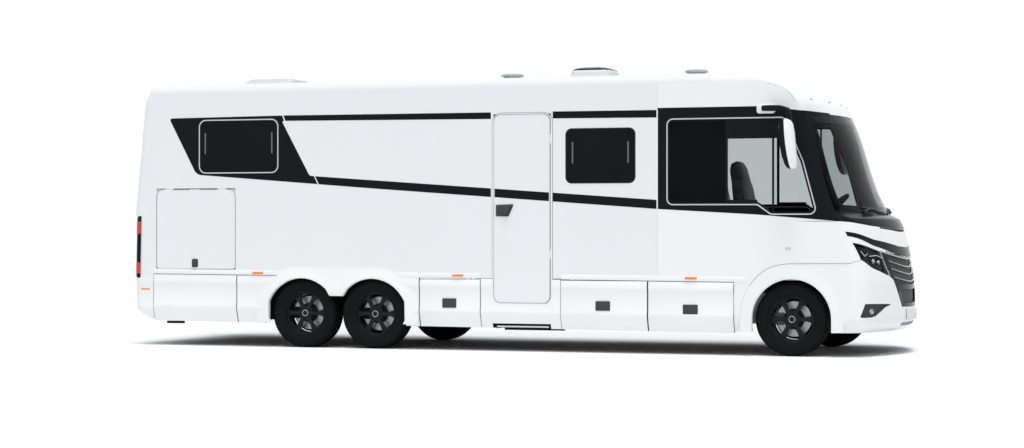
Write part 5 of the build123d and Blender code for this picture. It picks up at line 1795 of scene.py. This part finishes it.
def build_mirrors():
    """Mirrors: a white foot and arm, a tall head white in front and black behind, with its glass."""
    white, black = moulding(), gloss_black()
    head_x, head_y = X_FRONT + 0.025, HALF + 0.175
    for name, side in SIDES.items():
        arm = Shape()
        foot_x = X_FRONT - 0.240
        arm.side_plate(
            rounded(box_outline(foot_x - 0.088, foot_x + 0.100, 2.378, 2.468), 0.030, 5), side, HALF - 0.002,
            HALF + 0.028, 0.010
        )
        arm.make(f"mirror_foot_{name}", white, slot="white_moulding", bevel=0.003)
        path = [
            (foot_x - 0.02, HALF + 0.030, 2.430), (foot_x + 0.080, HALF + 0.075, 2.428),
            (X_FRONT - 0.060, HALF + 0.135, 2.422), (head_x - 0.010, head_y - 0.010, 2.400),
            (head_x + 0.005, head_y, 2.350), (head_x + 0.005, head_y, 2.270)
        ]
        bar = Shape().tube(
            [(x, side * y, z) for x, y, z in path], [0.028, 0.030, 0.028, 0.028, 0.032, 0.036], 16
        )
        bar.make(f"mirror_arm_{name}", black, slot="black_plastic", crease=60)
        shell, back = Shape(), Shape()
        rows = [
            (2.318, 0.35, -0.022), (2.300, 0.72, -0.020), (2.260, 0.88, -0.016), (2.180, 1.0, -0.010),
            (2.060, 1.0, 0.002), (1.950, 0.92, 0.018), (1.870, 0.78, 0.034), (1.838, 0.58, 0.042),
            (1.828, 0.34, 0.046)
        ]
        front_rings, back_rings = [], []
        for z, size, lean in rows:
            cx, cy = head_x + lean, head_y
            front_arc = [
                (cx + 0.072 * size * math.cos(a), cy + 0.092 * size * math.sin(a))
                for a in (math.pi * (k / 14 - 0.5) for k in range(15))
            ]
            front_rings.append(
                [
                    (px, side * py, z)
                    for px, py in front_arc + [
                        (cx - 0.012, cy + 0.092 * size), (cx - 0.012, cy - 0.092 * size)
                    ]
                ]
            )
            back_line = rounded(
                [
                    (cx - 0.012, cy - 0.090 * size), (cx - 0.012, cy + 0.090 * size),
                    (cx - 0.075 * size, cy + 0.080 * size), (cx - 0.075 * size, cy - 0.080 * size)
                ],
                [0, 0, 0.016 * size, 0.016 * size], 4
            )
            back_rings.append([(px, side * py, z) for px, py in back_line])
        shell.loft(front_rings).make(f"mirror_shell_{name}", white, slot="white_moulding", crease=60)
        back.loft(back_rings).make(f"mirror_housing_{name}", black, slot="black_plastic", crease=40)
        glass = Shape()

        def back_at(z):
            """How far the back of the head lies from its middle at one height."""
            return float(np.interp(-z, [-row[0] for row in rows], [row[2] - 0.075 * row[1] for row in rows]))

        for z0, z1 in ((2.030, 2.250), (1.900, 2.010)):
            line = rounded([(-0.062, z0), (0.062, z0), (0.062, z1), (-0.062, z1)], 0.02, 4)
            glass.loft(
                [
                    [(head_x + back_at(z) + dx, side * (head_y + y), z) for y, z in line]
                    for dx in (-0.0015, 0.004)
                ]
            )
        glass.make(f"mirror_glass_{name}", bright_metal(), slot="clear_glass")
    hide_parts("mirrors")


def build_roof():
    """Hatch lids with their glazing, the roof vents and the marker lamps of the cap."""
    smoked = finish("smoked_acrylic", (0.012, 0.013, 0.015), (0.12, 0.2), 1.3, 6.0, Specular_IOR_Level=0.2)
    pale = finish("pale_acrylic", (0.62, 0.64, 0.66), (0.2, 0.3), 0.95, 6.0)
    for name, node, base, tint in (
        ("rear", "hatch_lid_rear", 0.35, pale), ("mid", "hatch_lid_mid", 0.50, smoked)
    ):
        low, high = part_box(node)
        rise, steps = high.z - low.z, 8

        def ring(inset, z):
            line = rounded([(low.x + inset, low.y + inset), (high.x - inset, low.y + inset),
                            (high.x - inset, high.y - inset), (low.x + inset, high.y - inset)], 0.07, 5)
            return [(x, y, z) for x, y in line]

        tray = Shape().loft(
            [ring(0, low.z), ring(0, low.z + rise * base * 0.9), ring(0.006, low.z + rise * base)]
        )
        tray.make(
            f"hatch_tray_{name}", moulding(), f"hatch_lid_{name}", "white_moulding", bevel=0.002,
            replaces=(node,)
        )
        dome = []
        for k in range(steps + 1):
            turn = math.pi / 2 * k / steps
            dome.append(
                ring(
                    0.010 + (1 - math.cos(turn)) * (0.16 if name == "mid" else 0.05),
                    low.z + rise * (base + (0.97 - base) * math.sin(turn))
                )
            )
        Shape().loft(dome).make(f"hatch_dome_{name}", tint, f"hatch_lid_{name}", "smoked", crease=50)
    vents = Shape()
    for x in (X_FRONT - 3.272, X_FRONT - 1.243):
        rings = []
        for z, r in (
            (-0.010, 0.098), (0.034, 0.095), (0.036, 0.120), (0.050, 0.120), (0.061, 0.105), (0.065, 0.070),
            (0.065, 0.002)
        ):
            rings.append([(x + r * math.cos(a), r * math.sin(a), CROWN + z) for a in turns(40)])
        vents.loft(rings)
    vents.make(
        "roof_vent_caps", finish("vent_grey", (0.50, 0.51, 0.52), (0.4, 0.5), 0.9, 10), slot="black_plastic",
        crease=40, replaces=("roof_vents",)
    )
    lamps = Shape()
    for y in (-0.90, -0.30, 0.30, 0.90):
        z = 2.520
        line = [
            nose_point(y + dy, z + dz, 0.004)
            for dy, dz in ((-0.03, 0), (-0.01, 0.004), (0.01, 0.004), (0.03, 0))
        ]
        lamps.tube(line, [0.004, 0.008, 0.008, 0.004], 8)
    lamps.make("cap_marker_lamps", lens("marker_clear", (0.6, 0.6, 0.58)), slot="lamp_clear")


def build_interior():
    """Steering wheel and cab seats seen through the glass."""
    low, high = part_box("steering_wheel")
    hub = Vector((X_FRONT + 0.090, SEAT_Y, 1.480))
    tilt = Vector((-0.64, 0, 0.768)).normalized()
    across = Vector((0, 1, 0))
    up = tilt.cross(across)
    wheel = Shape()
    wheel.tube(
        [hub + across * (0.188 * math.cos(a)) + up * (0.188 * math.sin(a)) for a in turns(48)], 0.0145, 10,
        loop=True
    )
    for angle in (0, 180, 250, 290):
        a = math.radians(angle)
        wheel.tube(
            [hub, hub + across * (0.185 * math.cos(a)) + up * (0.185 * math.sin(a))], [0.022, 0.012], 8,
            flat=1.3
        )
    rings = []
    for d, r in ((-0.260, 0.030), (-0.030, 0.034), (-0.012, 0.062), (0.012, 0.060), (0.020, 0.030)):
        rings.append(
            [hub + tilt * d + across * (r * math.cos(a)) + up * (r * math.sin(a)) for a in turns(24)]
        )
    wheel.loft(rings)
    wheel.make(
        "steering_wheel_rim", black_plastic(), slot="black_plastic", crease=50, replaces=("steering_wheel",)
    )
    build_seats()


def build_seats():
    """Padded cab seats: cushion and tall back with sewn channels."""
    leather = finish(
        "seat_leather", paint_settings().leather, (0.42, 0.52), 1.5, 12.0, grain=0.5, grain_scale=260,
        cells=1.0, Sheen_Weight=0.15
    )
    x, low = X_FRONT - 0.950, 1.181
    for name, side in SIDES.items():
        y = side * SEAT_Y
        shape = Shape()
        pads = [
            (
                [
                    (0.125, low), (0.38, low), (0.630, low), (0.648, low + 0.07), (0.615, low + 0.128),
                    (0.38, low + 0.112), (0.16, low + 0.125), (0.10, low + 0.06)
                ],
                0.235
            ),
            (
                [
                    (0.060, low + 0.100), (0.190, low + 0.135), (0.178, low + 0.35), (0.142, low + 0.52),
                    (0.110, low + 0.60), (-0.030, low + 0.60), (-0.020, low + 0.50), (0.000, low + 0.30)
                ],
                0.228
            ),
            (
                [
                    (-0.006, low + 0.420), (0.160, low + 0.420), (0.146, low + 0.520), (0.118, low + 0.620),
                    (0.092, low + 0.710), (0.055, low + 0.770), (0.010, low + 0.785), (-0.040, low + 0.755),
                    (-0.055, low + 0.690), (-0.036, low + 0.560)
                ],
                0.160
            ),
        ]
        for line, half in pads:
            outline = rounded(line, 0.03, 3)
            cx = sum(p[0] for p in outline) / len(outline)
            cz = sum(p[1] for p in outline) / len(outline)
            rings = []
            for share in (
                -1, -0.97, -0.88, -0.70, -0.52, -0.50, -0.48, -0.25, 0, 0.25, 0.48, 0.50, 0.52, 0.70, 0.88,
                0.97, 1
            ):
                seam = 0.05 if abs(abs(share) - 0.50) < 0.001 else 0.0
                size = (1 - abs(share) ** 6 * 0.45) * (1 - seam)
                rings.append(
                    [
                        (x + cx + (px - cx) * size, y + share * half, cz + (pz - cz) * size)
                        for px, pz in outline
                    ]
                )
            shape.loft(rings)
        seat = shape.make(f"cab_seat_{name}", leather, slot="seat_leather", crease=60)
        soften = seat.modifiers.new("soften", "SUBSURF")
        soften.levels = soften.render_levels = 1
        bake(seat)
        seat.data.materials.clear()
        seat.data.materials.append(leather)
    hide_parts("cab_seats")


def build_step():
    """Tread strips on the entry step and its bright edge."""
    low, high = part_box("entry_step")
    strip = Shape().block(
        (low.x + 0.020, high.y - 0.285, high.z - 0.0005), (high.x - 0.020, high.y - 0.279, high.z + 0.0035)
    )
    mesh = repeat(
        strip, "step_tread", row_tree(), black_plastic(), (0, 0, 0), Count=12, Step=(0.0, 0.022, 0.0)
    )
    edge = Shape().tube(
        [(low.x + 0.004, low.y + 0.001, low.z + 0.014), (high.x - 0.004, low.y + 0.001, low.z + 0.014)],
        0.011, 10
    )
    edge.make("step_edge", bright_metal(), "entry_step", "steel_black")
    settle(mesh, "step_tread", black_plastic(), "entry_step")


def floor_board():
    return finish("floor_board", (0.10, 0.085, 0.07), (0.6, 0.75), 0.6, 25.0, grain=0.3, grain_scale=120)


# Frame nodes that show as they are, by the finish that each gets
CAD_FINISHES = {
    gelcoat: (
        "side_wall_right", "side_wall_left", "rear_wall", "roof_shell",
        "garage_door_right", "garage_door_left", "entrance_door",
    ),
    moulding: ("hatch_frames",),
    black_plastic: ("dashboard", "step_well", "seat_frames"),
    chassis_black_and_shade: ("chassis_frame", "front_axle", "rear_axles", "entry_step"),
    cast_silver: ("knuckle_right", "knuckle_left", "engine_block"),
    floor_board: ("floor_panel",),
}


def dress_frame():
    """Gives each shown frame node its finish."""
    for maker, nodes in CAD_FINISHES.items():
        material = maker()
        for node in nodes:
            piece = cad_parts[node]
            if not piece.material_slots:
                piece.data.materials.append(material)
            for socket in piece.material_slots:
                socket.material = material


# Photograph's view, from the fitted camera
VIEW_PLACE = (8.033, -23.314, 1.253)
VIEW_TURN = math.radians(19.38)
VIEW_LENS = 81.2
VIEW_SHIFT = 0.0043


def soft_sun(name, towards, level, spread):
    """A wide, soft lamp that lights the whole floor evenly from one direction."""
    light = bpy.data.lights.new(name, "SUN")
    light.energy, light.angle = level * math.pi, math.radians(spread)
    lamp = bpy.data.objects.new(name, light)
    bpy.context.scene.collection.objects.link(lamp)
    lamp.rotation_euler = Vector(towards).to_track_quat("-Z", "Y").to_euler()
    return lamp


def build_stage():
    """Pale floor with the vehicle's shadow, soft lamps, white background and the camera."""
    scene = bpy.context.scene
    ground = loose(Shape().block((-60, -60, -0.05), (60, 60, -0.0005)), "floor")
    material = bpy.data.materials.new("floor_white")
    material.use_nodes = True
    nodes, link = material.node_tree.nodes, material.node_tree.links.new
    nodes.clear()
    diffuse = nodes.new("ShaderNodeBsdfDiffuse")
    diffuse.inputs["Color"].default_value = (0.97, 0.97, 0.97, 1)
    out = nodes.new("ShaderNodeOutputMaterial")
    link(diffuse.outputs[0], out.inputs["Surface"])
    ground.data.materials.append(material)
    world = bpy.data.worlds.new("studio")
    scene.world = world
    world.use_nodes = True
    nodes, link = world.node_tree.nodes, world.node_tree.links.new
    nodes.clear()
    path = nodes.new("ShaderNodeLightPath")
    seen, more = nodes.new("ShaderNodeMath"), nodes.new("ShaderNodeMath")
    seen.operation = more.operation = "MAXIMUM"
    link(path.outputs["Is Camera Ray"], seen.inputs[0])
    link(path.outputs["Is Glossy Ray"], seen.inputs[1])
    link(seen.outputs[0], more.inputs[0])
    link(path.outputs["Is Transmission Ray"], more.inputs[1])
    soft, white = nodes.new("ShaderNodeBackground"), nodes.new("ShaderNodeBackground")
    soft.inputs["Color"].default_value = (0.93, 0.96, 1.0, 1)
    soft.inputs["Strength"].default_value = 0.33
    white.inputs["Strength"].default_value = 1.0
    white.inputs["Color"].default_value = (1, 1, 1, 1)
    mix = nodes.new("ShaderNodeMixShader")
    link(more.outputs[0], mix.inputs["Fac"])
    link(soft.outputs[0], mix.inputs[1])
    link(white.outputs[0], mix.inputs[2])
    out = nodes.new("ShaderNodeOutputWorld")
    link(mix.outputs[0], out.inputs["Surface"])
    soft_sun("overhead_lamp", (-0.10, 0.20, -1.0), 0.60, 20)
    soft_sun("side_lamp", (-0.28, 1.0, -1.0), 0.27, 40)
    camera = bpy.data.cameras.new("camera")
    camera.lens, camera.sensor_width, camera.shift_y, camera.clip_end = VIEW_LENS, 36.0, VIEW_SHIFT, 200
    view = bpy.data.objects.new("camera", camera)
    scene.collection.objects.link(view)
    view.location = VIEW_PLACE
    view.rotation_euler = (math.pi / 2, 0, VIEW_TURN)
    scene.camera = view
    scene.view_settings.view_transform = "Standard"


# Operators: one for each group of like pieces, in the order in which they run
STEPS = [
    ("frame_finish", "Frame finish", "Gives the frame's own panels and chassis their finish", (dress_frame,)),
    (
        "cab", "Cab skin", "Makes the smooth skin of the cab, the roof cap, the front and the bonnet",
        (build_cab,)
    ),
    (
        "cab_glass", "Cab glass", "Makes the windscreen, the cowl, the side bands and the cab windows",
        (build_cab_glass,)
    ),
    ("grille", "Grille", "Makes the grille, its slats, the accent and the blank plate", (build_grille,)),
    ("lamps", "Lamps", "Makes the headlamps, fog lamps and tail lamps", (build_lamps,)),
    ("bands", "Side bands", "Makes the dark bands along the sides", (build_bands,)),
    ("windows", "Windows", "Makes the windows of the living body", (build_windows,)),
    ("doors", "Doors", "Makes the door surround, its handle, the seals and the locks", (build_doors,)),
    (
        "skirts", "Skirts", "Makes the skirts, the flaps, their locks and the wheel arch flares",
        (build_skirts, build_flares)
    ),
    ("wheels", "Wheels", "Makes the tyres and the alloy wheels", (build_wheels,)),
    ("wipers", "Wipers", "Makes the wipers", (build_wipers,)),
    ("mirrors", "Mirrors", "Makes the mirrors", (build_mirrors,)),
    ("roof", "Roof fittings", "Makes the hatches, vents and marker lamps on the roof", (build_roof,)),
    ("interior", "Cab interior", "Makes the steering wheel and the padded seats", (build_interior,)),
    ("step", "Entry step", "Makes the tread strips of the entry step", (build_step,)),
    ("stage", "Studio stage", "Makes the floor, the lamps and the camera", (build_stage,)),
]


def make_operator(key, label, purpose, makers):
    """An operator class that runs the makers of one group of pieces."""

    def execute(self, context):
        for maker in makers:
            maker()
        return {"FINISHED"}

    return type(
        "MOTORHOME_OT_" + key, (bpy.types.Operator,),
        {"bl_idname": "motorhome." + key, "bl_label": label, "__doc__": purpose, "execute": execute},
    )


OPERATORS = [make_operator(*step) for step in STEPS]


class MOTORHOME_PT_panel(bpy.types.Panel):
    """Lists the operators and their settings in the sidebar."""

    bl_label = "Motorhome"
    bl_idname = "MOTORHOME_PT_panel"
    bl_space_type = "VIEW_3D"
    bl_region_type = "UI"
    bl_category = "Motorhome"

    def draw(self, context):
        scene = context.scene
        for settings in (scene.motorhome_paint, scene.motorhome_trim):
            for name in settings.__annotations__:
                self.layout.prop(settings, name)
        for operator in OPERATORS:
            self.layout.operator(operator.bl_idname)


CLASSES = [PaintSettings, TrimSettings, *OPERATORS, MOTORHOME_PT_panel]


def register():
    for cls in CLASSES:
        bpy.utils.register_class(cls)
    bpy.types.Scene.motorhome_paint = bpy.props.PointerProperty(type=PaintSettings)
    bpy.types.Scene.motorhome_trim = bpy.props.PointerProperty(type=TrimSettings)


def unregister():
    del bpy.types.Scene.motorhome_paint
    del bpy.types.Scene.motorhome_trim
    for cls in reversed(CLASSES):
        bpy.utils.unregister_class(cls)


def main():
    """Runs every operator in order and writes both boxes."""
    register()
    for key, *_ in STEPS:
        getattr(bpy.ops.motorhome, key)()
    bpy.context.view_layer.update()


if __name__ == "__main__":
    main()
